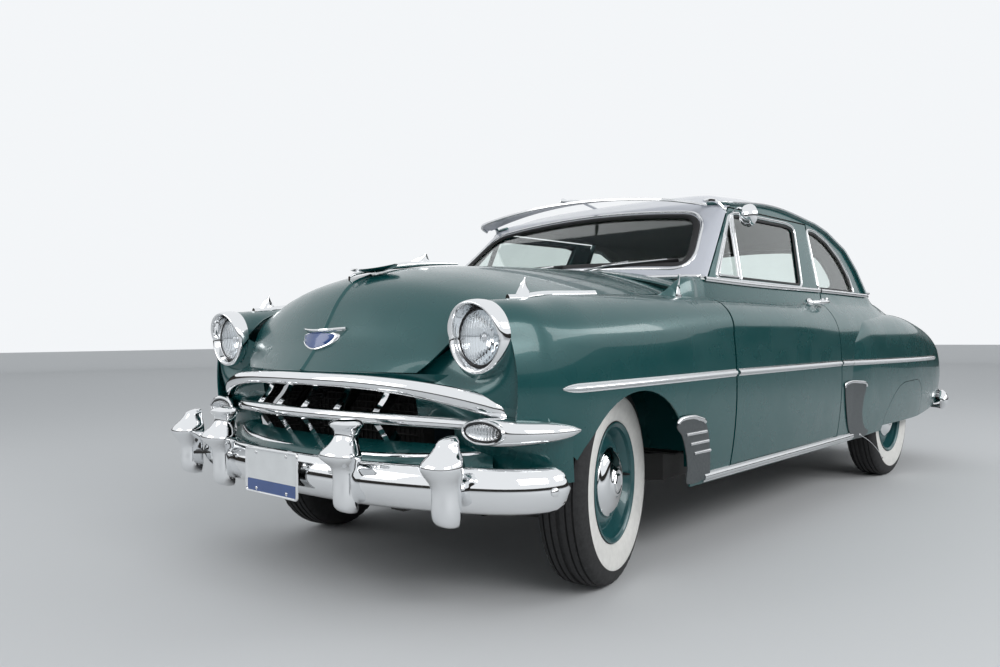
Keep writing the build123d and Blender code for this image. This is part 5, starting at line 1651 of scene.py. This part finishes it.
def addOrnaments():
    # the winged ornament along the hood's nose
    keel = [(2.118, 1.050, .004, .004), (2.135, 1.066, .016, .009), (2.110, 1.082, .021, .013),
            (2.050, 1.097, .019, .013), (1.960, 1.116, .016, .011), (1.840, 1.134, .013, .009),
            (1.700, 1.147, .009, .007), (1.580, 1.153, .004, .004)]
    path = through([(k[0], 0, k[1]) for k in keel], 40)
    size = through([(k[2], k[3], 0) for k in keel], 40)
    loops = []
    for p, sz in zip(path, size):
        loops.append([p + Vector((0, sz.x * cos(2 * pi * k / 16), sz.y * sin(2 * pi * k / 16)))
                      for k in range(16)])
    addLoft("hoodOrnament", loops, "hood_lid", "chrome", 50)
    for side, word in sides:
        wing = []
        for i in range(9):
            t = i / 8
            y = side * (.008 + .115 * t)
            lead = 2.112 - .085 * t**1.3
            chord = .105 * (1 - t)**.7 + .018
            z = 1.099 + .018 * t**2
            bulge = .0085 * (1 - t * .8)
            wing.append([Vector((lead - chord * u, y, z + bulge * s * sqrt(max(0, u * (1 - u) * 3))))
                         for u, s in [(k / 8, 1) for k in range(9)] + [(1 - k / 8, -1) for k in range(1, 8)]])
        addLoft(word + "OrnamentWing", wing, "hood_lid", "chrome", 50)
        if side > 0:
            addOrnamentFin()
        # the fin and its long strip on each fender's top
        strip = []
        for x in (2.085, 2.05, 2.00, 1.94, 1.88, 1.80, 1.72, 1.64):
            line = [p for p in sectionLine(frontSide, x, upper=30) if p.z > .86]
            high = min(line, key=lambda p: abs(p.y - max(.724, line[0].y + .004)))
            strip.append((x, side * high.y, high.z + .0015))
        strip = through(strip, 36)
        strip = sided(strip, side)
        sweep(word + "FenderStrip", strip, scaledProfile(.020, .013), (0, 0, 1), "body", "chrome", 50)
        peak = []
        for i in range(9):
            t = i / 8
            front, back = 2.060 - .052 * t**1.2, 1.955 + .050 * (1 - (1 - t)**2)
            z = .967 + .072 * t
            thick = .0075 * (1 - t) + .0018
            peak.append([Vector((front + (back - front) * k / 6,
                                 side * (.724 + face * thick * sin(pi * k / 6)), z))
                         for k, face in [(k, 1) for k in range(7)] + [(k, -1) for k in range(5, 0, -1)]])
        addLoft(word + "FenderFin", peak, "body", "chrome", 50)
    addRidgeAndBadge()


# the raised ridge down the hood's nose, and the badge: a plain enamelled shield with a bright rim
def addRidgeAndBadge():
    ridge = [Vector((r[0] + .003, 0, r[1] + .001)) for r in hoodRows[4:]]
    fold = [(-.013, -.004), (-.008, -.001), (-.003, .003), (0, .004), (.003, .003), (.008, -.001),
            (.013, -.004)]
    sweep("hoodRidge", through(ridge, 40), fold, (.7, 0, .7), "hood_lid", "tealPaint", 60)
    badge = dict(x=2.268, z=.845, tilt=radians(20))
    def onBadge(a, b, out):
        up = Vector((-sin(badge["tilt"]), 0, cos(badge["tilt"])))
        ahead = Vector((cos(badge["tilt"]), 0, sin(badge["tilt"])))
        middle = Vector((badge["x"], 0, badge["z"])) + Vector((0, a, 0)) - Vector((abs(a)**2 * 1.6, 0, 0))
        return middle + up * b + ahead * out
    shield = through([(-.072, .014, 0), (-.040, .022, 0), (0, .026, 0), (.040, .022, 0), (.072, .014, 0),
                      (.060, -.010, 0), (.030, -.026, 0), (0, -.032, 0), (-.030, -.026, 0), (-.060, -.010, 0),
                      (-.072, .014, 0)], 41)[:-1]
    shield = [Vector((p.x * 1.35, p.y * 1.15, 0)) for p in shield]
    for name, levels, mat, angle in (
            ("badgeRim", ((1.05, -.012), (1.05, .006), (1.0, .010), (.90, .0105)), "chrome", 40),
            ("badgeEnamel", ((.90, .0095), (.88, .0125), (.60, .0140), (.05, .0145)), "blueEnamel", 60)):
        loops = [[onBadge(p.x * f, p.y * f, out) for p in shield] for f, out in levels]
        addLoft(name, loops, "hood_lid", mat, angle)


def addBadgeWing():
    tips = [(2.236, -.118, .884), (2.266, -.060, .880), (2.274, 0, .878), (2.266, .060, .880),
            (2.236, .118, .884)]
    sweep("badgeWing", through(tips, 30), scaledProfile(.012, .010), (.9, 0, .4), "hood_lid", "chrome", 50)


def addMirror():
    arm = [(.530, .694, 1.400), (.538, .716, 1.414), (.545, .742, 1.416), (.548, .762, 1.402),
           (.548, .774, 1.386)]
    path = through(arm, 24)
    ring = circle(.0048, 10)
    sweep("mirrorArm", path, ring, (.3, .2, 1), "door_left", "chrome", 60)
    head, face = Vector((.553, .786, 1.377)), Vector((-.92, .36, .02)).normalized()
    shell = [(-.034, .0004), (-.033, .012), (-.029, .026), (-.022, .038), (-.012, .0468), (0, .0505),
             (.004, .0508), (.005, .0495), (.003, .0475)]
    lining = [(a - .001 if a < 0 else a - .0015, max(r - .0015, .0004)) for a, r in shell[::-1]]
    lathe("mirrorHead", shell + lining, 56, head, face, "door_left", "chrome", 50)
    lathe("mirrorFace", [(.0015, .0004), (.002, .030), (.0028, .0475), (.0005, .0475), (0, .0004)], 56, head,
          face, "door_left", "mirrorGlass", 50)
    bolt("mirrorClamp", (.530, .690, 1.398), (0, 1, .26), .012, "door_left", "chrome", .008)


def addHandles():
    for side, word in sides:
        body = "door_" + word
        base = [(.030, .862, 1.004), (-.012, .873, 1.006), (-.060, .880, 1.008), (-.108, .880, 1.010),
                (-.140, .874, 1.012)]
        path = through([(x, side * y, z) for x, y, z in base], 24)
        ring = [(-.008, -.006), (-.0105, 0), (-.008, .006), (0, .0085), (.008, .006), (.0105, 0),
                (.008, -.006), (0, -.0085)]
        sweep(word + "Handle", sided(path, side), ring, (0, side, .5), body, "chrome", 60)
        for x, y, z, r in ((.030, .845, 1.004, .020), (-.128, .850, 1.010, .017)):
            foot = [(-.008, r), (.010, r), (.014, r * .9), (.018, r * .6), (.019, .0004)]
            lathe(word + "HandleBase" + ("F" if x > 0 else "R"), foot, 28, (x, side * y, z),
                  (0, side * .8, .6), body, "chrome", 50)
        lathe(word + "HandleButton", [(0, .008), (.016, .008), (.019, .006), (.020, .0004)], 20,
              (-.128, side * .862, 1.018), (0, side * .8, .6), body, "chrome", 50)


wiper = dict(reach=.38, blade=.38, armShare=.62, bladeStart=.25)


def addWipers():
    for word, y in (("driver", .19), ("passenger", -.37)):
        pivot = Vector((frontX(abs(y), 1.100) + .030, y, 1.128))
        lathe(word + "WiperPivot", [(-.02, .012), (.004, .012), (.008, .009), (.010, .0004)], 20, pivot,
              (.5, 0, .86), "body", "chrome", 50)
        spine = []
        for k in range(10):
            t = k / 9
            across, z = y + wiper["reach"] * wiper["armShare"] * t, 1.132 + .040 * t
            spine.append(Vector((frontX(min(abs(across), .69), z) + .024 - .006 * t, across, z)))
        sweep(word + "WiperArm", spine, scaledProfile(.008, .006), (.6, 0, .8), "body", "stainless", 50)
        blade = []
        for k in range(18):
            t = k / 17
            across = y + (wiper["reach"] * wiper["bladeStart"] + wiper["blade"] * t - .02)
            z = 1.150 + .018 * t
            blade.append(Vector((frontX(min(abs(across), .69), z) + .010, across, z)))
        sweep(word + "WiperBlade", blade, [(-.003, -.008), (-.003, .006), (.003, .006), (.003, -.008)],
              (.6, 0, .8), "body", "darkRubber", 40)
        sweep(word + "WiperHolder", [p + Vector((.004, 0, .006)) for p in blade[2:-2]],
              scaledProfile(.007, .004), (.6, 0, .8), "body", "stainless", 50)


# the fairing that carries the windshield's foot forward and down into each fender's top
def addFairings():
    for side, word in sides:
        loops = []
        for k in range(21):
            x = .991 + .344 * k / 20
            t = max(0, x - 1.100) / .235
            row = atStation(frontSide, min(x, 1.30))
            foot, top = row[4] - .012, 1.083 - (1.083 - row[4] + .004) * (3 * t**2 - 2 * t**3)
            outer, inner = (.800 if x > 1.06 else .793) - .020 * t, .768
            section = [(inner, foot), (inner, top - .012), (inner + .008, top - .002),
                       ((inner + outer) / 2, top), (outer - .006, top - .006), (outer + .004, top - .020),
                       (outer + .012, foot)]
            loops.append([Vector((x, side * y, z)) for y, z in section])
        addLoft(word + "Fairing", loops, "body", "tealPaint", 50)


def addSmallParts():
    # the aerial's foot on the left fender's top, and the mast folded down to a stub
    foot = Vector((1.200, .800, 1.003))
    lathe("aerialFoot", [(-.006, .015), (.004, .015), (.007, .010), (.014, .009), (.026, .0065),
                         (.034, .0060), (.036, .0004)], 24, foot, (0, .10, 1), "body", "chrome", 50)
    lathe("aerialTip", [(.038, .004), (.070, .0038), (.072, .006), (.080, .006), (.083, .0004)], 16, foot,
          (0, .10, 1), "body", "chrome", 50)
    # curb feelers: a sprung wire ahead of the rear wheels
    for side, word in sides:
        wire = [(-.470, .885, .330), (-.500, .905, .318), (-.560, .935, .280), (-.640, .950, .225),
                (-.700, .952, .180)]
        path = through([(x, side * y, z) for x, y, z in wire], 26)
        ring = circle(.0016, 8)
        sweep(word + "Feeler", path, ring, (.2, 0, 1), "body", "stainless", 60)
        coil = [Vector((-.470 - .035 * k / 60 * .8, side * (.885 + .020 * k / 60), .330 - .011 * k / 60))
                + Vector((0, .005 * cos(2 * pi * k / 8), .005 * sin(2 * pi * k / 8))) for k in range(61)]
        sweep(word + "FeelerSpring", coil, ring, (1, 0, 0), "body", "stainless", 60)
        lathe(word + "FeelerTip", [(-.004, .0004), (-.003, .003), (.003, .003), (.004, .0004)], 12, path[-1],
              (-.4, 0, -1), "body", "darkRubber", 50)
        # tail lamp with its rim
        lamp = Vector((-2.292, side * .735, .740))
        lathe(word + "TailRim", [(-.004, .058), (.010, .060), (.022, .057), (.026, .051), (.020, .046),
                                 (.012, .046)], 48, lamp, (-1, 0, 0), "body", "chrome", 50)
        lens = [(.012, .0465), (.024, .045), (.036, .036), (.043, .022), (.046, .0004)]
        glow = lathe(word + "TailLens", lens + [(.010, .0004)], 48, lamp, (-1, 0, 0), "body", "redGlass", 50)
        if side > 0:
            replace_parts(glow, "tail_lamps")
    # deck lid handle
    path = through([(-2.300, -.10, .742), (-2.318, -.06, .748), (-2.322, 0, .750), (-2.318, .06, .748),
                    (-2.300, .10, .742)], 24)
    ring = [(-.009, -.005), (-.009, .005), (0, .008), (.009, .005), (.009, -.005), (0, -.008)]
    sweep("deckHandle", path, ring, (-1, 0, .2), "boot_lid", "chrome", 50)


addVisor()
addOrnaments()
addBadgeWing()
addMirror()
addHandles()
addWipers()
addFairings()
addSmallParts()
print("fittings done")

# stone shields: a ribbed plate behind the front wheel and a crescent ahead of the rear one, with bright caps
shields = dict(front=[(1.290, .552), (1.330, .560), (1.410, .559), (1.436, .548), (1.440, .530),
                      (1.404, .500), (1.366, .440), (1.340, .380), (1.324, .318), (1.180, .318),
                      (1.160, .326), (1.164, .350), (1.186, .420), (1.218, .500), (1.250, .540)],
               rear=[(-.212, .600), (-.300, .608), (-.410, .603), (-.488, .594), (-.500, .578), (-.474, .520),
                     (-.470, .450), (-.505, .388), (-.560, .350), (-.616, .330), (-.600, .312), (-.500, .302),
                     (-.400, .318), (-.325, .366), (-.268, .440), (-.228, .530)], thick=.0035)


# the body's side at a place on it, where the swell of the rear fender only starts at its front edge
def shieldPoint(key, x, z, side, stand):
    rows = frontSide if key == "front" else fenderSwell
    foot = x if key == "front" else max(min(x, -.332), -.62)
    return Vector((x, side * (spotOnSide(rows, foot, z, 1).y + stand), z))


def addShields():
    for key, x0, x1, columns, z0, z1, steps, capLow in (("front", 1.46, 1.14, 27, .58, .30, 23, .535),
                                                        ("rear", -.20, -.62, 35, .62, .30, 25, .575)):
        word = key.capitalize() + "Shield"
        grid = [[shieldPoint(key, x0 + (x1 - x0) * i / (columns - 1), z0 + (z1 - z0) * k / (steps - 1), 1,
                             .006) for k in range(steps)] for i in range(columns)]
        outline = through([(a, 0, b) for a, b in shields[key] + shields[key][:1]], 90)[:-1]
        plate = addSheet("left" + word, grid, (0, 1, 0), shields["thick"], "body", "shieldGrey")
        cut(plate, [prism([(p.x, p.z) for p in outline], "Y", .6, 1.0)], keep=True)
        if key == "front":
            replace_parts(plate, "stone_guards")
        mirrorCopy(plate, "right" + word, "body")
        cap = [p for p in outline if p.z > capLow]
        start = max(range(len(cap)), key=lambda k: (cap[k] - cap[k - 1]).length)
        cap = cap[start:] + cap[:start]
        for side, where in sides:
            edge = [shieldPoint(key, p.x, p.z, side, .007) for p in cap]
            sweep(where + word + "Cap", sided(edge, side), scaledProfile(.016, .006), (0, side, .05), "body",
                  "stainless", 50)
            if key == "front":
                addShieldRibs(side, where)


def addShieldRibs(side, word):
    for number, z in enumerate((.500, .463, .426)):
        rib = [shieldPoint("front", 1.232 - .022 * number + .145 * k / 12 - .012 * number * k / 12, z, side,
                           .006) for k in range(13)]
        sweep(word + "ShieldRib" + str(number + 1), sided(rib, side), scaledProfile(.013, .006), (0, side, 0),
              "body", "stainless", 50)


# tail panel, the sheet under the rear window and the tail's corners
def addTail():
    x, top, foot = -2.306, .714, .420
    grid = []
    for i in range(12):
        z = top + (foot - top) * i / 11
        grid.append([Vector((x - .014 * sin(pi * i / 11) + .012 * max(0, 1 - i / 3) + .020 * (y / .66)**2, y,
                             z)) for y in (-.655 + 1.31 * k / 40 for k in range(41))])
    panel = addSheet("tailPanel", grid, (-1, 0, 0), skin, "body", "tealPaint")
    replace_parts(panel, "rear_body_panel")
    tulip = []
    for i in range(14):
        t = i / 13
        x = -1.290 - .184 * t
        edgeY, edgeZ = .640 - .066 * t, 1.074 - .040 * t
        crown = 1.080 - .018 * t
        tulip.append([Vector((x, edgeY * u, edgeZ + (crown - edgeZ) * (1 - u * u)))
                      for u in (-1 + k / 22 for k in range(45))])
    addSheet("windowShelf", tulip, (0, 0, 1), .005, "body", "tealPaint")
    for side, word in sides:
        back = []
        for i in range(12):
            t = i / 11
            back.append([Vector((-2.290, side * (.560 + (.806 - .560) * u),
                                 .470 + (.790 - .08 * (1 - u)**2 - .470) * t))
                         for u in (k / 10 for k in range(11))])
        addSheet(word + "TailCorner", back, (-1, 0, 0), .005, "body", "tealPaint")


addShields()
addTail()
print("shields and tail done")

# seats
# pads and backs: x of rear and front at the foot, z low and high, half width, how far the top leans back
cushions = dict(frontSeatPad=(-.075, .435, .525, .672, .632, 0),
                frontSeatBack=(-.176, -.054, .585, 1.100, .632, .108),
                rearSeatPad=(-1.112, -.645, .534, .682, .537, 0),
                rearSeatBack=(-1.214, -1.092, .585, 1.070, .537, .088))
simulated = dict(voxel=.012, pressure=4.0, frames=20, cap=.024, shrink=.010)
channel = dict(pitch=.085, depth=.0065, roll=.11, seam=.105, seamDepth=.004)


# a back is tall, a pad isn't
def isBack(low, high):
    return high - low > .3


# a box with its sides pulled in between the corners, ready to be swollen
def cushionForm(name, rear, front, low, high, half, lean):
    nx, ny, nz = 8, 22, 16 if isBack(low, high) else 8
    bm = bmesh.new()
    points = {}
    def at(i, j, k):
        if (i, j, k) not in points:
            u, v, w = i / nx, j / ny, k / nz
            x = rear + (front - rear) * u - lean * (w if isBack(low, high) else 0)
            y = -half + 2 * half * v
            z = low + (high - low) * w
            # pulled in between the corners
            y -= (2 * v - 1) * .012 * sin(pi * u) * sin(pi * w)
            x += (.5 - u) * .024 * sin(pi * v) * sin(pi * w)
            z += (.5 - w) * .016 * sin(pi * u) * sin(pi * v)
            if w > .75:
                z -= .020 * max(0, abs(2 * v - 1) - .86) / .14 + .014 * (1 if u in (0, 1) else 0)
            points[(i, j, k)] = bm.verts.new((x, y, z))
        return points[(i, j, k)]
    for i in range(nx):
        for j in range(ny):
            bm.faces.new((at(i, j, 0), at(i, j + 1, 0), at(i + 1, j + 1, 0), at(i + 1, j, 0)))
            bm.faces.new((at(i, j, nz), at(i + 1, j, nz), at(i + 1, j + 1, nz), at(i, j + 1, nz)))
    for i in range(nx):
        for k in range(nz):
            bm.faces.new((at(i, 0, k), at(i + 1, 0, k), at(i + 1, 0, k + 1), at(i, 0, k + 1)))
            bm.faces.new((at(i, ny, k), at(i, ny, k + 1), at(i + 1, ny, k + 1), at(i + 1, ny, k)))
    for j in range(ny):
        for k in range(nz):
            bm.faces.new((at(0, j, k), at(0, j, k + 1), at(0, j + 1, k + 1), at(0, j + 1, k)))
            bm.faces.new((at(nx, j, k), at(nx, j + 1, k), at(nx, j + 1, k + 1), at(nx, j, k + 1)))
    mesh = bpy.data.meshes.new(name)
    bmesh.ops.recalc_face_normals(bm, faces=bm.faces)
    bm.to_mesh(mesh)
    bm.free()
    obj = bpy.data.objects.new(name, mesh)
    bpy.context.collection.objects.link(obj)
    soft = obj.modifiers.new("corners", "BEVEL")
    soft.width, soft.segments, soft.limit_method, soft.angle_limit = .022, 3, "ANGLE", radians(50)
    applied(obj, 60)
    return obj


def addCushion(name, rear, front, low, high, half, lean):
    shrink, tall = simulated["shrink"], isBack(low, high)
    obj = cushionForm(name, rear + shrink, front - shrink, low + shrink * .3, high - shrink * 1.3,
                      half - shrink, lean)
    remesh = obj.modifiers.new("remesh", "REMESH")
    remesh.mode, remesh.voxel_size = "VOXEL", simulated["voxel"]
    applied(obj, 60)
    start = [v.co.copy() for v in obj.data.vertices]
    cloth = obj.modifiers.new("cloth", "CLOTH")
    cloth.settings.use_pressure = True
    cloth.settings.uniform_pressure_force = simulated["pressure"]
    cloth.settings.effector_weights.gravity = 0
    cloth.settings.quality = 4
    cloth.settings.tension_stiffness = cloth.settings.compression_stiffness = 12
    cloth.collision_settings.use_collision = False
    cloth.point_cache.frame_start, cloth.point_cache.frame_end = 1, simulated["frames"]
    for step in range(1, simulated["frames"] + 1):
        bpy.context.scene.frame_set(step)
    applied(obj, 60)
    bpy.context.scene.frame_set(1)
    # how far each point may move, and the space the bench may fill
    for v, was in zip(obj.data.vertices, start):
        step = v.co - was
        if step.length > simulated["cap"]:
            v.co = was + step.normalized() * simulated["cap"]
        w = (v.co.z - low) / (high - low)
        tilt = lean * w if tall else 0
        v.co.x = min(max(v.co.x, rear - tilt), front - tilt)
        v.co.y = min(max(v.co.y, -half), half)
        v.co.z = min(max(v.co.z, low), high)
    sub = obj.modifiers.new("finer", "SUBSURF")
    sub.levels = sub.render_levels = 1
    applied(obj, 60)
    # sewn channels across the middle of the seat, a plain roll at each side
    for v in obj.data.vertices:
        w = (v.co.z - low) / (high - low)
        tilt = lean * w if tall else 0
        inside = abs(v.co.y) < half - channel["roll"]
        top = (v.co.x > front - tilt - .035 and .10 < w < .93) if tall else (w > .80 and v.co.x < front - .06)
        down = Vector((1, 0, 0)) if tall else Vector((0, 0, 1))
        if top and inside:
            v.co -= down * channel["depth"] * (1 - abs(sin(pi * v.co.y / channel["pitch"])))**2
        for seam in (half - channel["seam"], -half + channel["seam"]):
            if top and abs(v.co.y - seam) < .006:
                v.co -= down * channel["seamDepth"]
    dress(obj, "body", "seatCloth", 60)
    return obj


def addSeats():
    made = {name: addCushion(name, *values) for name, values in cushions.items()}
    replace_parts(made["frontSeatPad"], "front_seat")
    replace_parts(made["rearSeatPad"], "rear_seat")
    # piping round the front edge of each pad and the top of each back
    ring = circle(.0045, 8)
    for name, (_, front, low, high, half, lean) in cushions.items():
        across = [-half + .03 + (2 * half - .06) * k / 30 for k in range(31)]
        if isBack(low, high):
            line = [Vector((front - lean * .97 - .010, y, high - .022 - .010 * (y / half)**4))
                    for y in across]
        else:
            line = [Vector((front - .012, y, high - .026)) for y in across]
        sweep(name + "Piping", line, ring, (.5, 0, .8), "body", "seatVinyl", 60)


addSeats()
print("seats done")

# dashboard, steering wheel, door cards
def addDash():
    section = rounded([(.762, .862), (.742, .930), (.762, 1.018), (.800, 1.040), (.862, 1.046),
                       (1.050, 1.030), (1.050, 1.012), (.900, 1.000), (.862, .862)], .022, 4)
    loops = []
    for i in range(31):
        y = -.652 + 1.304 * i / 30
        bow = .020 * (1 - (y / .652)**2)
        loops.append([Vector((x - (bow if x < .80 else 0) + .018, y, z)) for x, z in section])
    dash = addLoft("dashPanel", loops, "body", "dashPaint", 40)
    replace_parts(dash, "dashboard")
    # a round dial ahead of the driver, a speaker grille, a glove lid and four knobs
    face = Vector((-.97, 0, .18)).normalized()
    dial = Vector((.760, .360, .968))
    lathe("dialRim", [(-.014, .098), (.012, .100), (.016, .096), (.014, .088), (.004, .084)], 56, dial, face,
          "body", "chrome", 50)
    lathe("dialFace", [(.004, .086), (.0045, .040), (.005, .0004)], 48, dial, face, "body", "paleEnamel", 50)
    for k in range(13):
        a = radians(-130 + 260 * k / 12)
        spot = dial + face * .006 + Vector((0, -sin(a), 0)) * .070 + Vector((.18, 0, .97)) * cos(a) * .070
        bolt("dialMark" + str(k + 1), spot, face, .0035, "body", "darkTrim", .001)
    for k in range(9):
        y = -.062 + .018 * (k - 4)
        slat = [Vector((.744 + .010 * sin(pi * t / 6), y, .905 + .10 * t / 6)) for t in range(7)]
        sweep("speakerSlat" + str(k + 1), slat, scaledProfile(.007, .008), (-1, 0, .1), "body", "chrome", 50)
    corners = [(-.20, .885), (-.20, 1.000), (-.50, 1.000), (-.50, .885)]
    lid = [Vector((.7425, y, z)) for y, z in rounded(corners, .020, 4)]
    sweep("gloveEdge", [Vector((p.x + .006, p.y, p.z)) for p in lid],
          [(-.0025, -.002), (-.0025, .002), (.0025, .002), (.0025, -.002)], (-1, 0, .1), "body", "darkTrim",
          50, closed=True)
    lathe("gloveKnob", [(0, .012), (.010, .013), (.016, .009), (.018, .0004)], 24, (.742, -.35, .985), face,
          "body", "chrome", 50)
    for number, y in enumerate((.16, .08, .56, .60)):
        lathe("dashKnob" + str(number + 1), [(0, .006), (.014, .006), (.016, .014), (.026, .015),
                                             (.030, .010), (.031, .0004)], 24,
              (.746, y, .905 if number < 2 else .900), face, "body", "wheelPlastic", 50)


def addSteering():
    origin, axis = Vector((.520, .360, .985)), Vector((-.87, 0, .49)).normalized()
    side, up = Vector((0, 1, 0)), axis.cross(Vector((0, 1, 0)))
    column = [(-.56, .0004), (-.56, .0185), (-.03, .0185), (-.022, .026), (-.002, .026), (0, .0100),
              (.028, .0095), (.029, .0004)]
    lathe("columnTube", column, 32, origin, axis, "body", "dashPaint", 40)
    middle = origin + axis * .044
    rim = []
    for i in range(96):
        a = 2 * pi * i / 96
        out = side * cos(a) + up * sin(a)
        loop = []
        for k in range(14):
            b = 2 * pi * k / 14
            grip = .0108 + (.0009 * cos(48 * a) if sin(b) < .2 else 0)
            loop.append(middle + out * (.205 + grip * cos(b)) + axis * grip * sin(b))
        rim.append(loop)
    rim.append(rim[0])
    wheel = addLoft("wheelRim", rim, "steering", "wheelPlastic", 60, caps=False)
    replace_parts(wheel, "steering_wheel")
    for number, angle in enumerate((90, 210, 330)):
        a = radians(angle)
        out = side * cos(a) + up * sin(a)
        path = through([origin + out * reach + axis * lift
                        for reach, lift in ((.022, .020), (.09, .026), (.16, .036), (.203, .044))], 20)
        spoke = [(-.011, -.003), (-.013, 0), (-.011, .004), (0, .006), (.011, .004), (.013, 0), (.011, -.003),
                 (0, -.005)]
        sweep("wheelSpoke" + str(number + 1), path, spoke, axis, "steering", "wheelPlastic", 60)
    lathe("wheelHub", [(.0055, .0108), (.0055, .031), (.022, .032), (.034, .028), (.040, .022),
                       (.042, .0004)], 40, origin, axis, "steering", "wheelPlastic", 50)
    lathe("hornButton", [(.040, .019), (.046, .018), (.0485, .012), (.049, .0004)], 32, origin, axis,
          "steering", "chrome", 50)
    horn = [middle + side * (.128 * cos(a)) + up * (.128 * sin(a)) - axis * .010
            for a in (pi + pi * k / 30 for k in range(31))]
    ring = circle(.0035, 8)
    sweep("hornRing", horn, ring, axis, "steering", "chrome", 60)
    for stay, a in (("A", pi), ("B", 2 * pi), ("C", 1.5 * pi)):
        out = side * cos(a) + up * sin(a)
        path = [origin + out * reach + axis * lift
                for reach, lift in ((.020, .034), (.07, .036), (.128, .034))]
        sweep("hornStay" + stay, path, ring, axis, "steering", "chrome", 60)


# how far out a door card stands at a height
def cardY(z):
    rows = [(.40, .846), (.84, .846), (.90, .795), (.98, .738), (1.06, .730)]
    for (a, ya), (b, yb) in zip(rows, rows[1:]):
        if z <= b:
            return ya + (yb - ya) * max(0, z - a) / (b - a)
    return rows[-1][1]


def addDoorCards():
    for side, word in sides:
        body = "door_" + word
        grid = []
        for i in range(17):
            z = 1.052 - .620 * i / 16
            grid.append([Vector((x, side * (cardY(z) - .004 * sin(pi * i / 16)), z))
                         for x in (.875 - .96 * k / 32 for k in range(33))])
        addSheet(word + "DoorCard", grid, (0, -side, 0), .004, body, "seatVinyl", 40)
        rest = [Vector((x, side * .822, .74 + .01 * sin(pi * (x - .15) / .5)))
                for x in (.15 + .50 * k / 20 for k in range(21))]
        pad = [(-.020, -.022), (-.026, 0), (-.022, .020), (0, .026), (.022, .020), (.026, 0), (.020, -.022)]
        sweep(word + "ArmRest", rest, pad, (0, -side, .2), body, "seatVinyl", 60)
        for name, x, z in (("Crank", .46, .820), ("Latch", .70, .825)):
            spot = Vector((x, side * (cardY(z) - .004), z))
            lathe(word + name + "Boss", [(0, .022), (.006, .021), (.012, .012), (.020, .010), (.021, .0004)],
                  28, spot, (0, -side, 0), body, "chrome", 50)
            arm = [spot + Vector((x, -side * y, z))
                   for x, y, z in ((0, .016, 0), (-.035, .022, -.004), (-.085, .024, -.010))]
            sweep(word + name + "Arm", through(arm, 12), scaledProfile(.012, .006), (0, -side, 0), body,
                  "chrome", 50)
            lathe(word + name + "Knob", [(0, .006), (.004, .009), (.022, .010), (.026, .006), (.027, .0004)],
                  20, arm[-1], (0, -side, 0), body, "wheelPlastic" if name == "Crank" else "chrome", 50)


addDash()
addSteering()
addDoorCards()
print("interior done")

# under the hood and below the body
nodeFinish = dict(cowl="tealPaint", floor_pan="floorPaint", chassis_frame="frameBlack",
                  front_suspension="frameBlack", rear_axle="frameBlack", left_knuckle="castIron",
                  right_knuckle="castIron", engine_block="enginePaint", front_aprons="frameBlack",
                  radiator="radiatorBlack", seat_base="seatVinyl", exhaust="exhaustSteel",
                  fuel_tank="floorPaint")


def dressNodes():
    for node, finishName in nodeFinish.items():
        obj = frame["nodes"][node]
        obj.data.materials.clear()
        obj.data.materials.append(mats[finishName])
    for node in ("chassis_frame", "engine_block", "seat_base", "fuel_tank", "rear_axle"):
        soft = frame["nodes"][node].modifiers.new("edges", "BEVEL")
        soft.width, soft.segments, soft.limit_method, soft.angle_limit = .002, 1, "ANGLE", radians(50)


def addEngine():
    # rocker cover, air cleaner, battery, plug leads, the radiator's core and cap, and its top hose
    cover = rounded([(-.085, .9), (-.085, .985), (-.055, 1.012), (.055, 1.012), (.085, .985), (.085, .9)],
                    .012, 3)
    ends = ((1.215, .86), (1.225, 1), (1.765, 1), (1.775, .86))
    loops = [[Vector((x, y * s, .94 + (z - .94) * s)) for y, z in cover] for x, s in ends]
    addLoft("rockerCover", loops, "body", "enginePaint", 40)
    lathe("airCleaner", [(0, .045), (.004, .105), (.012, .118), (.052, .120), (.062, .112), (.070, .080),
                         (.074, .020), (.080, .014), (.0805, .0004)], 48, (1.520, .135, .948), (0, 0, 1),
          "body", "frameBlack", 40)
    box = rounded([(1.215, -.540), (1.215, -.370), (1.475, -.370), (1.475, -.540)], .010, 3)
    loops = [[Vector((x, y, z)) for x, y in box] for z in (.690, .700, .895, .905)]
    addLoft("battery", loops, "body", "darkRubber", 30)
    for number, x in enumerate((1.245, 1.445)):
        lathe("batteryPost" + str(number + 1), [(-.005, .012), (.016, .010), (.018, .0004)], 20,
              (x, -.455, .905), (0, 0, 1), "body", "stainless", 40)
    ring = circle(.0042, 8)
    for number in range(6):
        x = 1.29 + .085 * number
        path = through([(x, -.140, .905), (x, -.168, .950), (1.50 + .02 * (number - 3), -.172, .985),
                        (1.49, -.168, .930)], 20)
        sweep("plugLead" + str(number + 1), path, ring, (0, -1, .2), "body", "darkRubber", 60)
    lathe("spreader", [(-.05, .030), (.0, .034), (.018, .030), (.026, .012), (.0265, .0004)], 28,
          (1.49, -.185, .905), (0, 0, 1), "body", "wheelPlastic", 50)
    for number in range(24):
        y = -.295 + .59 * number / 23
        fin = [Vector((2.0615, y, z)) for z in (.430, .890)]
        sweep("coreFin" + str(number + 1), fin, [(-.002, 0), (-.002, .006), (.002, .006), (.002, 0)],
              (1, 0, 0), "body", "radiatorBlack", 30)
    lathe("radiatorCap", [(-.01, .022), (.006, .022), (.008, .030), (.016, .030), (.019, .024),
                          (.020, .0004)], 28, (2.025, .0, .930), (0, 0, 1), "body", "stainless", 40)
    hose = through([(1.880, .06, .900), (1.930, .07, .925), (1.970, .08, .905), (1.992, .09, .880)], 20)
    sweep("topHose", hose, circle(.019, 16), (0, 1, 0), "body",
          "darkRubber", 60)


dressNodes()
addEngine()
print("running gear and engine done")
